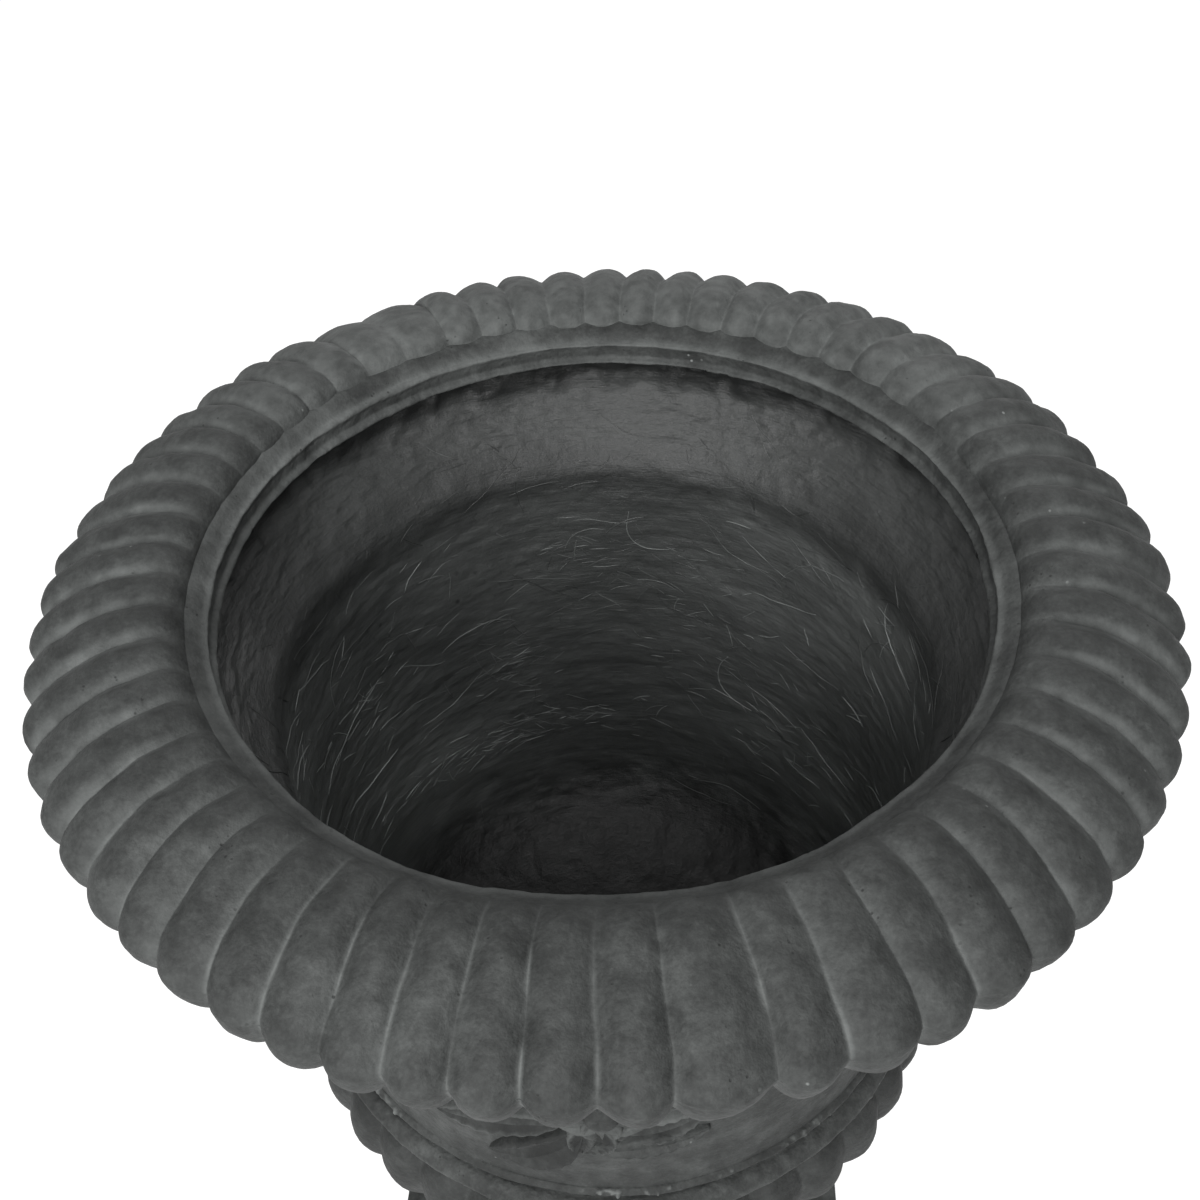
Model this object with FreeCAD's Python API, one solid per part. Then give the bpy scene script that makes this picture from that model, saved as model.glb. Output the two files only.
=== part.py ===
import FreeCAD, Part

# Classical urn planter with an overturned, gadrooned rim, a cylindrical frieze,
# a lobed cup, a waisted stem, a round foot and a square plinth.
# Millimetres.  The origin is on the floor under the middle of the plinth and
# +Z is the urn's axis.  The pieces are moulded shells, stacked from the floor
# up, and a threaded drain sleeve through the middle clamps cup to pedestal.

import math
import os

Vector = FreeCAD.Vector
AXIS = Vector(0, 0, 1)
CENTRE = Vector(0, 0, 0)

# Joints between the pieces
BOND = 0.2                  # adhesive line between curved faces
SLEEVE_PLAY = 1.0           # round the sleeve, in every hole it passes

# Plinth, a square block that is hollow underneath
PLINTH_SIDE = 305.0
PLINTH_H = 58.0
PLINTH_WALL = 10.0
PLINTH_TOP = 10.0
PLINTH_CORNER_R = 6.0
PLINTH_EDGE = 3.0

# Foot, a half-round ring
FOOT_R = 138.0
FOOT_H = 28.0
FOOT_BORE_R = 98.0
FOOT_EDGE_H = 4.0

# Stem, a hollow trumpet with a closed top
STEM_BASE_R = 118.0
STEM_LIP_H = 7.0
STEM_WAIST_R = 47.0
STEM_TOP_R = 55.0
STEM_WAIST_UP = 66.0        # from the stem's base to its waist
STEM_H = 86.0
STEM_WALL = 10.0
STEM_TOP_T = 12.0

# Bead between stem and cup
BEAD_R = 66.0
BEAD_H = 18.0

# Cup of lobes
CUP_LOBES = 36
CUP_FOOT_R = 60.0
CUP_SWELL = 18.0            # from the frieze out to the lobes' widest ring
CUP_BULGE_UP = 82.0         # from the cup's foot to its widest ring
CUP_H = 114.0
CUP_LEDGE_W = 8.0           # ledge outside the wall's foot
CUP_WALL = 8.0              # behind the lobes' grooves
CUP_HOLLOW_UP = 58.0        # from the floor to the hollow's widest ring
CUP_NECK_H = 10.0           # straight neck of the hollow, at the top
CUP_SIDE_PULL = 0.5         # lobes' upper curve: shares of its rise and of its overhang
CUP_TOP_PULL = 0.9
CUP_TOP_OUT = 0.6
CUP_GROOVE = 5.0
CUP_GROOVE_FOOT = 0.3       # share of the groove's depth near the foot

# Floor of the bowl, a stepped disc let into the cup's foot
FLOOR_T = 14.0
FLOOR_LEDGE_W = 8.0
FLOOR_LEDGE_T = 6.0

# Wall: the straight frieze, and the cove ring that flares out under the rim
FRIEZE_R = 176.0
WALL_T = 8.0
FRIEZE_H = 202.0
COVE_EDGE_T = 4.5

# Mouth lip
MOUTH_R = 181.25
LIP_H = 11.0
LIP_BAND_W = 10.5
LIP_BAND_RISE = 7.9
LIP_EDGE = 1.2
LIP_FLANGE_W = 8.0
LIP_FLANGE_T = 6.0

# Rim
RIM_LOBES = 60
RIM_W = 75.0                # from the lip's band to the lobes' outermost ring
RIM_MOUTH_UP = 34.0         # from the rim's seat to the mouth's edge
RIM_OUT_DROP = 8.6          # from the mouth's edge down to the outermost ring
RIM_CREST_PULL = 28.6       # height of the curve's pull that makes the crest
RIM_CREST_ACROSS = 0.135    # share of the lobes' width that this pull is at
RIM_SHOULDER_PULL = 6.9     # height of the curve's pull over the outermost ring
RIM_CURL_DROP = 7.7         # the curl hangs this far below the seat
RIM_CURL_IN = 25.0
RIM_CURL_LAND = 5.0
RIM_CURL_SIDE = 0.42        # curl's pulls: shares of its fall and of its reach inwards
RIM_CURL_BASE = 0.12
RIM_CURL_ACROSS = 0.45
RIM_EDGE_T = 8.9
RIM_FLANGE_W = 31.0
RIM_T = 8.0
RIM_HOLLOW_LOW = 0.6        # hollow's pulls: shares of its width and of the lobes' width
RIM_HOLLOW_HIGH = 0.2
RIM_HOLLOW_DROP = 2.0
RIM_GROOVE = 3.6
RIM_GROOVE_START = 0.3      # shares of the groove's depth along the lobes
RIM_GROOVE_CREST = 1.2
RIM_GROOVE_SHOULDER = 1.3
RIM_GROOVE_OUT = 0.3
RIM_GROOVE_CURL = 0.5
RIM_GROOVE_END = 0.4

# Mouldings on the frieze
BEAD_MOULDING_OUT = 10.0
BEAD_MOULDING_H = 11.0
FILLET_UP = 16.5            # from the frieze's foot to the thin fillet
FILLET_H = 5.0
FILLET_OUT = 3.0
FILLET_EDGE = 0.25          # share of its height above the frieze that is square

# Leaf sprays on the frieze
SPRAYS = ("front", "right", "back", "left")
SPRAY_UP = 111.0            # centre of a spray above the frieze's foot
SPRAY_SIZE = 100.0
PETALS = 6
PETAL_L = 27.0
PETAL_W = 19.0
PETAL_T = 6.5
BUTTON_R = 9.0
BUTTON_OUT = 8.5
LEAF_T = 4.0
RIB_T = 6.0
RIB_W = 5.0
RIB_SHORT = 8.0
LEAVES = (                  # root across, up; direction in degrees; length; width
    (-0.08, -0.36, 6.0, 0.62, 0.16),
    (0.02, -0.20, 14.0, 0.54, 0.22),
    (-0.10, -0.20, -141.0, 0.64, 0.28),
    (-0.18, -0.12, -157.0, 0.78, 0.24),
    (0.08, 0.04, 24.0, 0.68, 0.26),
    (-0.08, 0.04, 156.0, 0.68, 0.26),
    (0.08, 0.10, 52.0, 0.56, 0.24),
    (-0.08, 0.10, 128.0, 0.56, 0.24),
    (0.0, 0.12, 90.0, 0.48, 0.24),
    (-0.04, -0.10, -100.0, 0.34, 0.26),
)

# Lining inside the bowl
LINING_T = 3.0

# Drain
SLEEVE_R = 13.5
SLEEVE_BORE_R = 10.5
SLEEVE_FLANGE_R = 29.0
SLEEVE_FLANGE_T = 4.0
SLEEVE_TAIL = 6.0           # below the nut
GASKET_T = 2.0
GASKET_R = 27.0
WASHER_R = 26.0
WASHER_T = 2.5
NUT_ACROSS = 41.0
NUT_T = 9.0
THREAD_PLAY = 0.1
PLUG_PLAY = 0.06
PLUG_SHANK = 14.0
PLUG_TIP = 1.5
PLUG_HEAD_R = 16.0
PLUG_HEAD_T = 4.0
PLUG_NECK_R = 5.0
PLUG_NECK_H = 6.0
PLUG_KNOB_R = 9.0
PLUG_KNOB_H = 6.0

# Roundness of a quarter curve drawn with one cubic
ROUND = 0.5523

# Levels, from the floor up
foot_z = PLINTH_H
stem_z = foot_z + FOOT_H
bead_z = stem_z + STEM_H
cup_z = bead_z + BEAD_H
frieze_z = cup_z + CUP_H
cove_z = frieze_z + FRIEZE_H

# The rim's plan, from the mouth outwards
rim_in_r = MOUTH_R + LIP_BAND_W
rim_out_r = rim_in_r + RIM_W
curl_r = rim_out_r - RIM_CURL_IN
seat_r = curl_r - RIM_CURL_LAND
cove_r = seat_r - FRIEZE_R
seat_z = cove_z + cove_r + COVE_EDGE_T
mouth_z = seat_z + RIM_MOUTH_UP
lip_flange_z = mouth_z + LIP_BAND_RISE - RIM_EDGE_T

# The cup, and the hollow inside the bowl
cup_r = FRIEZE_R + CUP_SWELL
ledge_r = CUP_FOOT_R - FLOOR_LEDGE_W
ledge_z = cup_z + FLOOR_LEDGE_T
hollow_z = cup_z + FLOOR_T
inside_r = FRIEZE_R - WALL_T
hollow_r = cup_r - CUP_GROOVE - CUP_WALL
hollow_wide_z = hollow_z + CUP_HOLLOW_UP

# The stack under the drain sleeve's flange
lining_top_z = hollow_z + BOND + LINING_T
gasket_z = lining_top_z
flange_z = gasket_z + GASKET_T
plug_z = flange_z + SLEEVE_FLANGE_T
washer_z = PLINTH_H - PLINTH_TOP - WASHER_T
nut_z = washer_z - NUT_T
tail_z = nut_z - SLEEVE_TAIL
hole_r = SLEEVE_R + SLEEVE_PLAY


def line(start, end):
    """Straight edge between two (radius, height) points."""
    return Part.LineSegment(Vector(start[0], 0, start[1]), Vector(end[0], 0, end[1])).toShape()


def curve(*poles):
    """Smooth edge drawn by its poles, given as (radius, height) points."""
    bezier = Part.BezierCurve()
    bezier.setPoles([Vector(radius, 0, height) for radius, height in poles])
    return bezier.toShape()


def arc(start, middle, end):
    """Round edge through three (radius, height) points."""
    points = [Vector(radius, 0, height) for radius, height in (start, middle, end)]
    return Part.Arc(*points).toShape()


def path(*points):
    """Straight edges from point to point."""
    return [line(start, end) for start, end in zip(points, points[1:])]


def turned(edges):
    """Solid of revolution of a closed outline about the urn's axis."""
    face = Part.Face(Part.Wire(edges))
    return face.revolve(CENTRE, AXIS, 360).removeSplitter()


def lobed(crest_edges, groove_edges, count):
    """Ring of equal lobes: each swells from groove to crest to groove."""
    half = 180.0 / count
    sections = []
    for edges, angle in ((groove_edges, -half), (crest_edges, 0.0), (groove_edges, half)):
        wire = Part.Wire(edges)
        wire.rotate(CENTRE, AXIS, angle)
        sections.append(wire)
    lobe = Part.makeLoft(sections, False, False)
    faces = []
    for index in range(count):
        for face in lobe.Faces:
            copy = face.copy()
            copy.rotate(CENTRE, AXIS, index * 2 * half)
            faces.append(copy)
    shell = Part.makeShell(faces)
    shell.sewShape()
    solid = Part.Solid(shell)
    if solid.Volume < 0:
        solid.reverse()
    return solid


def cylinder(radius, low, high):
    return Part.makeCylinder(radius, high - low, Vector(0, 0, low), AXIS)


def make_plinth():
    """Square block, hollow below, with softened corners and top edge."""
    half = PLINTH_SIDE / 2
    block = Part.makeBox(PLINTH_SIDE, PLINTH_SIDE, PLINTH_H, Vector(-half, -half, 0))
    upright = [edge for edge in block.Edges if edge.BoundBox.ZLength > PLINTH_H / 2]
    block = block.makeFillet(PLINTH_CORNER_R, upright)
    top = [edge for edge in block.Edges if edge.BoundBox.ZMin > PLINTH_H - PLINTH_EDGE / 2]
    block = block.makeChamfer(PLINTH_EDGE, top)
    inner = PLINTH_SIDE - 2 * PLINTH_WALL
    hollow = Part.makeBox(inner, inner, PLINTH_H - PLINTH_TOP, Vector(-inner / 2, -inner / 2, 0))
    return block.cut(hollow).cut(cylinder(hole_r, 0, PLINTH_H))


def make_foot_ring():
    """Half-round ring on the plinth, with a short upright edge under it."""
    edge_r = FOOT_R - (FOOT_H - FOOT_EDGE_H) / 2
    low = foot_z + FOOT_EDGE_H
    top = foot_z + FOOT_H
    edges = path((edge_r, top), (FOOT_BORE_R, top), (FOOT_BORE_R, foot_z), (FOOT_R, foot_z))
    edges += path((FOOT_R, foot_z), (FOOT_R, low), (edge_r, low))
    edges.append(arc((edge_r, low), (FOOT_R, (low + top) / 2), (edge_r, top)))
    return turned(edges)


def make_stem():
    """Hollow trumpet: a lip, a scotia up to the waist, and a closed top."""
    lip_z = stem_z + STEM_LIP_H
    waist_z = stem_z + STEM_WAIST_UP
    inner_top = bead_z - STEM_TOP_T
    base_in = STEM_BASE_R - STEM_WALL
    waist_in = STEM_WAIST_R - STEM_WALL
    reach = STEM_BASE_R - STEM_WALL / 2 - STEM_WAIST_R
    rise = waist_z - lip_z
    shoulder = STEM_BASE_R - STEM_WALL / 2
    outer = path((base_in, stem_z), (STEM_BASE_R, stem_z), (STEM_BASE_R, lip_z), (shoulder, lip_z))
    outer.append(curve((shoulder, lip_z), (shoulder - ROUND * reach, lip_z),
                       (STEM_WAIST_R, waist_z - ROUND * rise), (STEM_WAIST_R, waist_z)))
    outer.append(curve((STEM_WAIST_R, waist_z), (STEM_WAIST_R, (waist_z + bead_z) / 2),
                       (STEM_TOP_R, (waist_z + bead_z) / 2), (STEM_TOP_R, bead_z)))
    outer += path((STEM_TOP_R, bead_z), (hole_r, bead_z), (hole_r, inner_top), (waist_in, inner_top))
    low = lip_z - STEM_LIP_H / 2
    outer.append(curve((waist_in, inner_top), (waist_in, inner_top - ROUND * (inner_top - low)),
                       (base_in - ROUND * (base_in - waist_in), low), (base_in, low)))
    outer.append(line((base_in, low), (base_in, stem_z)))
    return turned(outer)


def make_stem_bead():
    """Round bead that the cup stands on."""
    edge_r = BEAD_R - BEAD_H / 2
    edges = path((edge_r, cup_z), (hole_r, cup_z), (hole_r, bead_z), (edge_r, bead_z))
    edges.append(arc((edge_r, bead_z), (BEAD_R, (bead_z + cup_z) / 2), (edge_r, cup_z)))
    return turned(edges)


def hollow_curve(inset):
    """Poles of the bowl's hollow from the floor to the neck, moved inwards by inset."""
    floor = hollow_z + inset
    wide = hollow_r - inset
    neck = inside_r - inset
    neck_z = frieze_z - CUP_NECK_H
    reach = wide - CUP_FOOT_R
    middle_z = (hollow_wide_z + neck_z) / 2
    lower = ((CUP_FOOT_R, floor), (CUP_FOOT_R + ROUND * reach, floor),
             (wide, hollow_wide_z - ROUND * (hollow_wide_z - floor)), (wide, hollow_wide_z))
    upper = ((wide, hollow_wide_z), (wide, middle_z), (neck, middle_z), (neck, neck_z))
    return lower, upper


def cup_outline(groove):
    """Closed outline of the cup's wall; groove is how deep it is cut at this angle."""
    wide_z = cup_z + CUP_BULGE_UP
    wide = cup_r - groove
    top_r = FRIEZE_R + CUP_LEDGE_W
    top_wide = top_r + CUP_TOP_OUT * (cup_r - top_r) - groove
    reach = cup_r - CUP_FOOT_R
    rise = frieze_z - wide_z
    edges = [curve((CUP_FOOT_R, cup_z), (CUP_FOOT_R + ROUND * reach, cup_z + CUP_GROOVE_FOOT * groove),
                   (wide, wide_z - ROUND * CUP_BULGE_UP), (wide, wide_z))]
    edges.append(curve((wide, wide_z), (wide, wide_z + CUP_SIDE_PULL * rise),
                       (top_wide, wide_z + CUP_TOP_PULL * rise), (top_r, frieze_z)))
    lower, upper = hollow_curve(0.0)
    edges += path((top_r, frieze_z), (inside_r, frieze_z), upper[-1])
    edges.append(curve(*reversed(upper)))
    edges.append(curve(*reversed(lower)))
    edges += path(lower[0], (CUP_FOOT_R, ledge_z), (ledge_r, ledge_z), (ledge_r, cup_z),
                  (CUP_FOOT_R, cup_z))
    return edges


def make_gadroon_cup():
    return lobed(cup_outline(0.0), cup_outline(CUP_GROOVE), CUP_LOBES)


def make_bowl_floor():
    """Stepped disc on the ledge in the cup's foot; the drain sleeve clamps it down."""
    wide = CUP_FOOT_R - BOND
    narrow = ledge_r - BOND
    return turned(path((hole_r, hollow_z), (wide, hollow_z), (wide, ledge_z), (narrow, ledge_z),
                       (narrow, cup_z), (hole_r, cup_z), (hole_r, hollow_z)))


def make_bead_moulding():
    """Half-round moulding on the cup's ledge, round the frieze's foot."""
    inner = FRIEZE_R + BOND
    edge_r = FRIEZE_R + CUP_LEDGE_W - BOND
    top = frieze_z + BEAD_MOULDING_H
    edges = path((edge_r, top), (inner, top), (inner, frieze_z), (edge_r, frieze_z))
    outer = FRIEZE_R + BEAD_MOULDING_OUT
    edges.append(arc((edge_r, frieze_z), (outer, (frieze_z + top) / 2), (edge_r, top)))
    return turned(edges)


def make_fillet_moulding():
    """Thin half-round fillet a little above the bead moulding."""
    inner = FRIEZE_R + BOND
    low = frieze_z + FILLET_UP
    top = low + FILLET_H
    outer = FRIEZE_R + FILLET_OUT
    edge_r = inner + FILLET_EDGE * FILLET_OUT
    edges = path((edge_r, top), (inner, top), (inner, low), (edge_r, low))
    edges.append(arc((edge_r, low), (outer, (low + top) / 2), (edge_r, top)))
    return turned(edges)


def cove_point(radius, angle):
    """Point on a circle about the cove's centre; 180 degrees is the frieze's side."""
    turn = math.radians(angle)
    return (seat_r + radius * math.cos(turn), cove_z + radius * math.sin(turn))


def cove_top_angle(radius):
    """Angle at which a circle about the cove's centre reaches the rim's seat."""
    return 180.0 - math.degrees(math.asin((seat_z - cove_z) / radius))


def make_frieze_wall():
    """Straight round wall between the cup and the cove."""
    return turned(path((inside_r, cove_z), (inside_r, frieze_z), (FRIEZE_R, frieze_z),
                       (FRIEZE_R, cove_z), (inside_r, cove_z)))


def make_cove_ring():
    """Ring that flares from the frieze out to a flat seat for the rim."""
    inner_arc = cove_r + WALL_T
    top_angle = cove_top_angle(inner_arc)
    top_in = cove_point(inner_arc, top_angle)
    edges = [line((inside_r, cove_z), (FRIEZE_R, cove_z))]
    edges.append(arc((FRIEZE_R, cove_z), cove_point(cove_r, 135), cove_point(cove_r, 90)))
    edges += path(cove_point(cove_r, 90), (seat_r, seat_z), top_in)
    edges.append(arc(top_in, cove_point(inner_arc, (top_angle + 180) / 2), (inside_r, cove_z)))
    return turned(edges)


def make_bowl_lining():
    """Thin skin that lines floor, cup, frieze and cove."""
    outer_low, outer_up = hollow_curve(BOND)
    inner_low, inner_up = hollow_curve(BOND + LINING_T)
    outer_arc = cove_r + WALL_T + BOND
    inner_arc = outer_arc + LINING_T
    outer_top = cove_top_angle(outer_arc)
    inner_top = cove_top_angle(inner_arc)
    outer_wall = inside_r - BOND
    inner_wall = outer_wall - LINING_T
    edges = [line((hole_r, outer_low[0][1]), outer_low[0])]
    edges.append(curve(*outer_low))
    edges.append(curve(*outer_up))
    edges.append(line(outer_up[-1], (outer_wall, cove_z)))
    edges.append(arc((outer_wall, cove_z), cove_point(outer_arc, (outer_top + 180) / 2),
                     cove_point(outer_arc, outer_top)))
    edges.append(line(cove_point(outer_arc, outer_top), cove_point(inner_arc, inner_top)))
    edges.append(arc(cove_point(inner_arc, inner_top), cove_point(inner_arc, (inner_top + 180) / 2),
                     (inner_wall, cove_z)))
    edges.append(line((inner_wall, cove_z), inner_up[-1]))
    edges.append(curve(*reversed(inner_up)))
    edges.append(curve(*reversed(inner_low)))
    edges += path(inner_low[0], (hole_r, inner_low[0][1]), (hole_r, outer_low[0][1]))
    return turned(edges)


def make_mouth_lip():
    """Upright collar and sloping band round the mouth, with a flange under the rim."""
    low = mouth_z - LIP_H
    outer_r = rim_in_r + LIP_FLANGE_W
    points = [(MOUTH_R, low), (MOUTH_R, mouth_z - LIP_EDGE), (MOUTH_R + LIP_EDGE, mouth_z),
              (rim_in_r, mouth_z + LIP_BAND_RISE), (rim_in_r, lip_flange_z),
              (outer_r, lip_flange_z), (outer_r, lip_flange_z - LIP_FLANGE_T),
              (rim_in_r, low), (MOUTH_R, low)]
    return turned(path(*points))


def rim_outline(groove):
    """Closed outline of the rim's shell; groove is how deep it is cut at this angle."""
    edge_r = rim_in_r + BOND
    edge_z = mouth_z + LIP_BAND_RISE
    out_z = mouth_z - RIM_OUT_DROP
    curl_z = seat_z - RIM_CURL_DROP
    pull_z = mouth_z + RIM_CREST_PULL
    span = rim_out_r - edge_r
    crest = ((edge_r, edge_z - RIM_GROOVE_START * groove),
             (edge_r + RIM_CREST_ACROSS * span, pull_z - RIM_GROOVE_CREST * groove),
             (rim_out_r - RIM_GROOVE_OUT * groove,
              mouth_z + RIM_SHOULDER_PULL - RIM_GROOVE_SHOULDER * groove),
             (rim_out_r - groove, out_z))
    fall = out_z - curl_z
    curl_across = rim_out_r - RIM_CURL_ACROSS * RIM_CURL_IN
    curl = ((rim_out_r - groove, out_z),
            (rim_out_r - groove, out_z - RIM_CURL_SIDE * fall),
            (curl_across - RIM_GROOVE_CURL * groove, curl_z + RIM_CURL_BASE * fall),
            (curl_r - RIM_GROOVE_END * groove, curl_z))
    land_r = seat_r + BOND
    flange_r = seat_r - RIM_FLANGE_W
    flange_top = seat_z + RIM_T
    inner_out = rim_out_r - RIM_T - RIM_GROOVE
    inner_in = rim_in_r + LIP_FLANGE_W
    edges = [curve(*crest), curve(*curl)]
    edges += path(curl[-1], (land_r, curl_z), (land_r, seat_z), (flange_r, seat_z),
                  (flange_r, flange_top), (seat_r, flange_top))
    edges.append(curve((seat_r, flange_top),
                       (seat_r + RIM_HOLLOW_LOW * (inner_out - seat_r), flange_top),
                       (inner_out, (flange_top + out_z) / 2), (inner_out, out_z)))
    inner_pull = pull_z - RIM_T - RIM_GROOVE
    edges.append(curve((inner_out, out_z), (inner_out, mouth_z - RIM_HOLLOW_DROP - RIM_GROOVE),
                       (inner_in + RIM_HOLLOW_HIGH * span, inner_pull), (inner_in, lip_flange_z)))
    edges += path((inner_in, lip_flange_z), (edge_r, lip_flange_z), crest[0])
    return edges


def make_rim():
    return lobed(rim_outline(0.0), rim_outline(RIM_GROOVE), RIM_LOBES)


def leaf_outline(root_at, direction, length, width):
    """Pointed leaf, seen from the front: two arcs from its root to its tip."""
    turn = math.radians(direction)
    along = Vector(math.cos(turn), 0, math.sin(turn))
    across = Vector(-math.sin(turn), 0, math.cos(turn))
    root = Vector(root_at[0], 0, frieze_z + SPRAY_UP + root_at[1])
    tip = root + along * length
    middle = (root + tip) * 0.5
    one = Part.Arc(root, middle + across * (width / 2), tip).toShape()
    other = Part.Arc(tip, middle - across * (width / 2), root).toShape()
    return Part.Face(Part.Wire([one, other]))


def on_frieze(outline, thickness):
    """The outline raised from the front of the frieze by thickness."""
    block = outline.extrude(Vector(0, -(FRIEZE_R + 2 * thickness), 0))
    low = frieze_z
    high = cove_z
    skin = cylinder(FRIEZE_R + thickness, low, high).cut(cylinder(FRIEZE_R + BOND, low, high))
    return block.common(skin)


def make_spray():
    """Flower with pointed leaves round it, on the front of the frieze."""
    pieces = []
    for across, up, direction, length_share, width_share in LEAVES:
        root = (SPRAY_SIZE * across, SPRAY_SIZE * up)
        length = SPRAY_SIZE * length_share
        leaf = leaf_outline(root, direction, length, SPRAY_SIZE * width_share)
        rib = leaf_outline(root, direction, length - RIB_SHORT, RIB_W)
        pieces.append(on_frieze(leaf, LEAF_T))
        pieces.append(on_frieze(rib, RIB_T))
    for index in range(PETALS):
        direction = 90.0 + index * 360.0 / PETALS
        pieces.append(on_frieze(leaf_outline((0.0, 0.0), direction, PETAL_L, PETAL_W), PETAL_T))
    button = Part.makeCylinder(BUTTON_R, FRIEZE_R + BUTTON_OUT,
                               Vector(0, 0, frieze_z + SPRAY_UP), Vector(0, -1, 0))
    core = cylinder(FRIEZE_R + BOND, frieze_z, cove_z)
    pieces.append(button.cut(core))
    return pieces[0].multiFuse(pieces[1:]).removeSplitter()


def make_drain_sleeve():
    """Threaded tube with a flange on the bowl's floor."""
    tube = cylinder(SLEEVE_R, tail_z, plug_z)
    flange = cylinder(SLEEVE_FLANGE_R, flange_z, plug_z)
    return tube.fuse(flange).cut(cylinder(SLEEVE_BORE_R, tail_z, plug_z)).removeSplitter()


def make_sleeve_gasket():
    ring = cylinder(GASKET_R, gasket_z, gasket_z + GASKET_T)
    return ring.cut(cylinder(SLEEVE_R + BOND, gasket_z, gasket_z + GASKET_T))


def make_clamp_washer():
    ring = cylinder(WASHER_R, washer_z, washer_z + WASHER_T)
    return ring.cut(cylinder(SLEEVE_R + BOND, washer_z, washer_z + WASHER_T))


def make_lock_nut():
    """Hexagon nut under the plinth's top."""
    corner_r = NUT_ACROSS / 2 / math.cos(math.radians(30))
    corners = []
    for index in range(7):
        turn = math.radians(60 * index)
        corners.append(Vector(corner_r * math.cos(turn), corner_r * math.sin(turn), nut_z))
    body = Part.Face(Part.makePolygon(corners)).extrude(Vector(0, 0, NUT_T))
    return body.cut(cylinder(SLEEVE_R + THREAD_PLAY, nut_z, nut_z + NUT_T))


def make_drain_plug():
    """Rubber stopper: a shank in the sleeve, a head on its flange and a knob to lift it by."""
    shank_r = SLEEVE_BORE_R - PLUG_PLAY
    low = plug_z - PLUG_SHANK
    head = plug_z + PLUG_HEAD_T
    neck = head + PLUG_NECK_H
    top = neck + PLUG_KNOB_H
    knob_edge = PLUG_KNOB_R - PLUG_KNOB_H / 2
    edges = path((0, top), (0, low), (shank_r - PLUG_TIP, low), (shank_r, low + PLUG_TIP),
                 (shank_r, plug_z), (PLUG_HEAD_R, plug_z), (PLUG_HEAD_R, head),
                 (PLUG_NECK_R, head), (PLUG_NECK_R, neck), (knob_edge, neck))
    edges.append(arc((knob_edge, neck), (PLUG_KNOB_R, (neck + top) / 2), (knob_edge, top)))
    edges.append(line((knob_edge, top), (0, top)))
    return turned(edges)


def main():
    pieces = {
        "plinth": make_plinth(),
        "foot_ring": make_foot_ring(),
        "stem": make_stem(),
        "stem_bead": make_stem_bead(),
        "gadroon_cup": make_gadroon_cup(),
        "bowl_floor": make_bowl_floor(),
        "bead_moulding": make_bead_moulding(),
        "fillet_moulding": make_fillet_moulding(),
        "frieze_wall": make_frieze_wall(),
        "cove_ring": make_cove_ring(),
        "bowl_lining": make_bowl_lining(),
        "mouth_lip": make_mouth_lip(),
        "rim": make_rim(),
        "drain_sleeve": make_drain_sleeve(),
        "sleeve_gasket": make_sleeve_gasket(),
        "clamp_washer": make_clamp_washer(),
        "lock_nut": make_lock_nut(),
        "drain_plug": make_drain_plug(),
    }
    spray = make_spray()
    for index, side in enumerate(SPRAYS):
        turned_spray = spray.copy()
        turned_spray.rotate(CENTRE, AXIS, index * 360.0 / len(SPRAYS))
        pieces["spray_" + side] = turned_spray
    os.makedirs("parts", exist_ok=True)
    for name, shape in pieces.items():
        box = shape.BoundBox
        print(name, "valid", shape.isValid(), "solids", len(shape.Solids), "faces", len(shape.Faces),
              "volume", round(shape.Volume / 1000, 1), "z", round(box.ZMin, 1), round(box.ZMax, 1),
              "radius", round(box.XMax, 1))
        shape.exportStep("parts/" + name + ".step")


main()
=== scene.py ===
import math

import bmesh
import bpy
import numpy as np
from mathutils import Matrix, Vector


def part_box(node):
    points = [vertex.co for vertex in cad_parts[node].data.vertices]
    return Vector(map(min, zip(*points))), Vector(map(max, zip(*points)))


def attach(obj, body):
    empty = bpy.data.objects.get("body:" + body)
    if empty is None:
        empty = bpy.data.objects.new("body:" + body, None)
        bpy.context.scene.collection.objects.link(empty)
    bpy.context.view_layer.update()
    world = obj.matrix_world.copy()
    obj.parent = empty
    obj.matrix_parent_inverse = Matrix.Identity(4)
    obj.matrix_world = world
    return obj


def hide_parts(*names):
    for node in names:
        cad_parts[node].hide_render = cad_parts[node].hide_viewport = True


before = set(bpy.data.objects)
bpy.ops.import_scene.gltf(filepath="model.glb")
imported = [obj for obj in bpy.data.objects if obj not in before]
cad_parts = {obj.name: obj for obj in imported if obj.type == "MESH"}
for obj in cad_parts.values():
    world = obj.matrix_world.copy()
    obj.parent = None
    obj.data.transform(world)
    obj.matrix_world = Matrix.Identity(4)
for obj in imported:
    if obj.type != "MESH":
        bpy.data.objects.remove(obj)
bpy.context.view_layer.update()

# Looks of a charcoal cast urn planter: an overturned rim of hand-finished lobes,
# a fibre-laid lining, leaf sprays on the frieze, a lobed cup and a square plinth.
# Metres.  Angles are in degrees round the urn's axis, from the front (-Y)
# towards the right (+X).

# Camera, in the urn's frame
CAMERA_AT = (0.0288, -0.4818, 1.0569)
CAMERA_HEADING = 3.545      # turned to the left of +Y
CAMERA_PITCH = 44.716       # down from the horizon
CAMERA_ROLL = -2.468
CAMERA_LENS = 41.983        # on a 36 mm sensor
CAMERA_SHIFT_UP = 0.00607

# Rim lobes: widths are shares of an even lobe, counted from the first seam
LOBES = 60
FIRST_SEAM = 7.3
LOBE_DRIFT = 0.05           # widths drift slowly round the rim
LOBE_DRIFT_PEAK = 120.0
LOBE_SWAY = 0.02
LOBE_SWAY_PEAK = 75.0
LOBE_CHANCE = 0.05
LOBE_SEED = 6166
WIDE_LOBES = {0: 0.38, 33: 0.32, 34: 0.28}
LOBE_COLUMNS = 18
CUP_LOBES = 36
CUP_COLUMNS = 16

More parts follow.
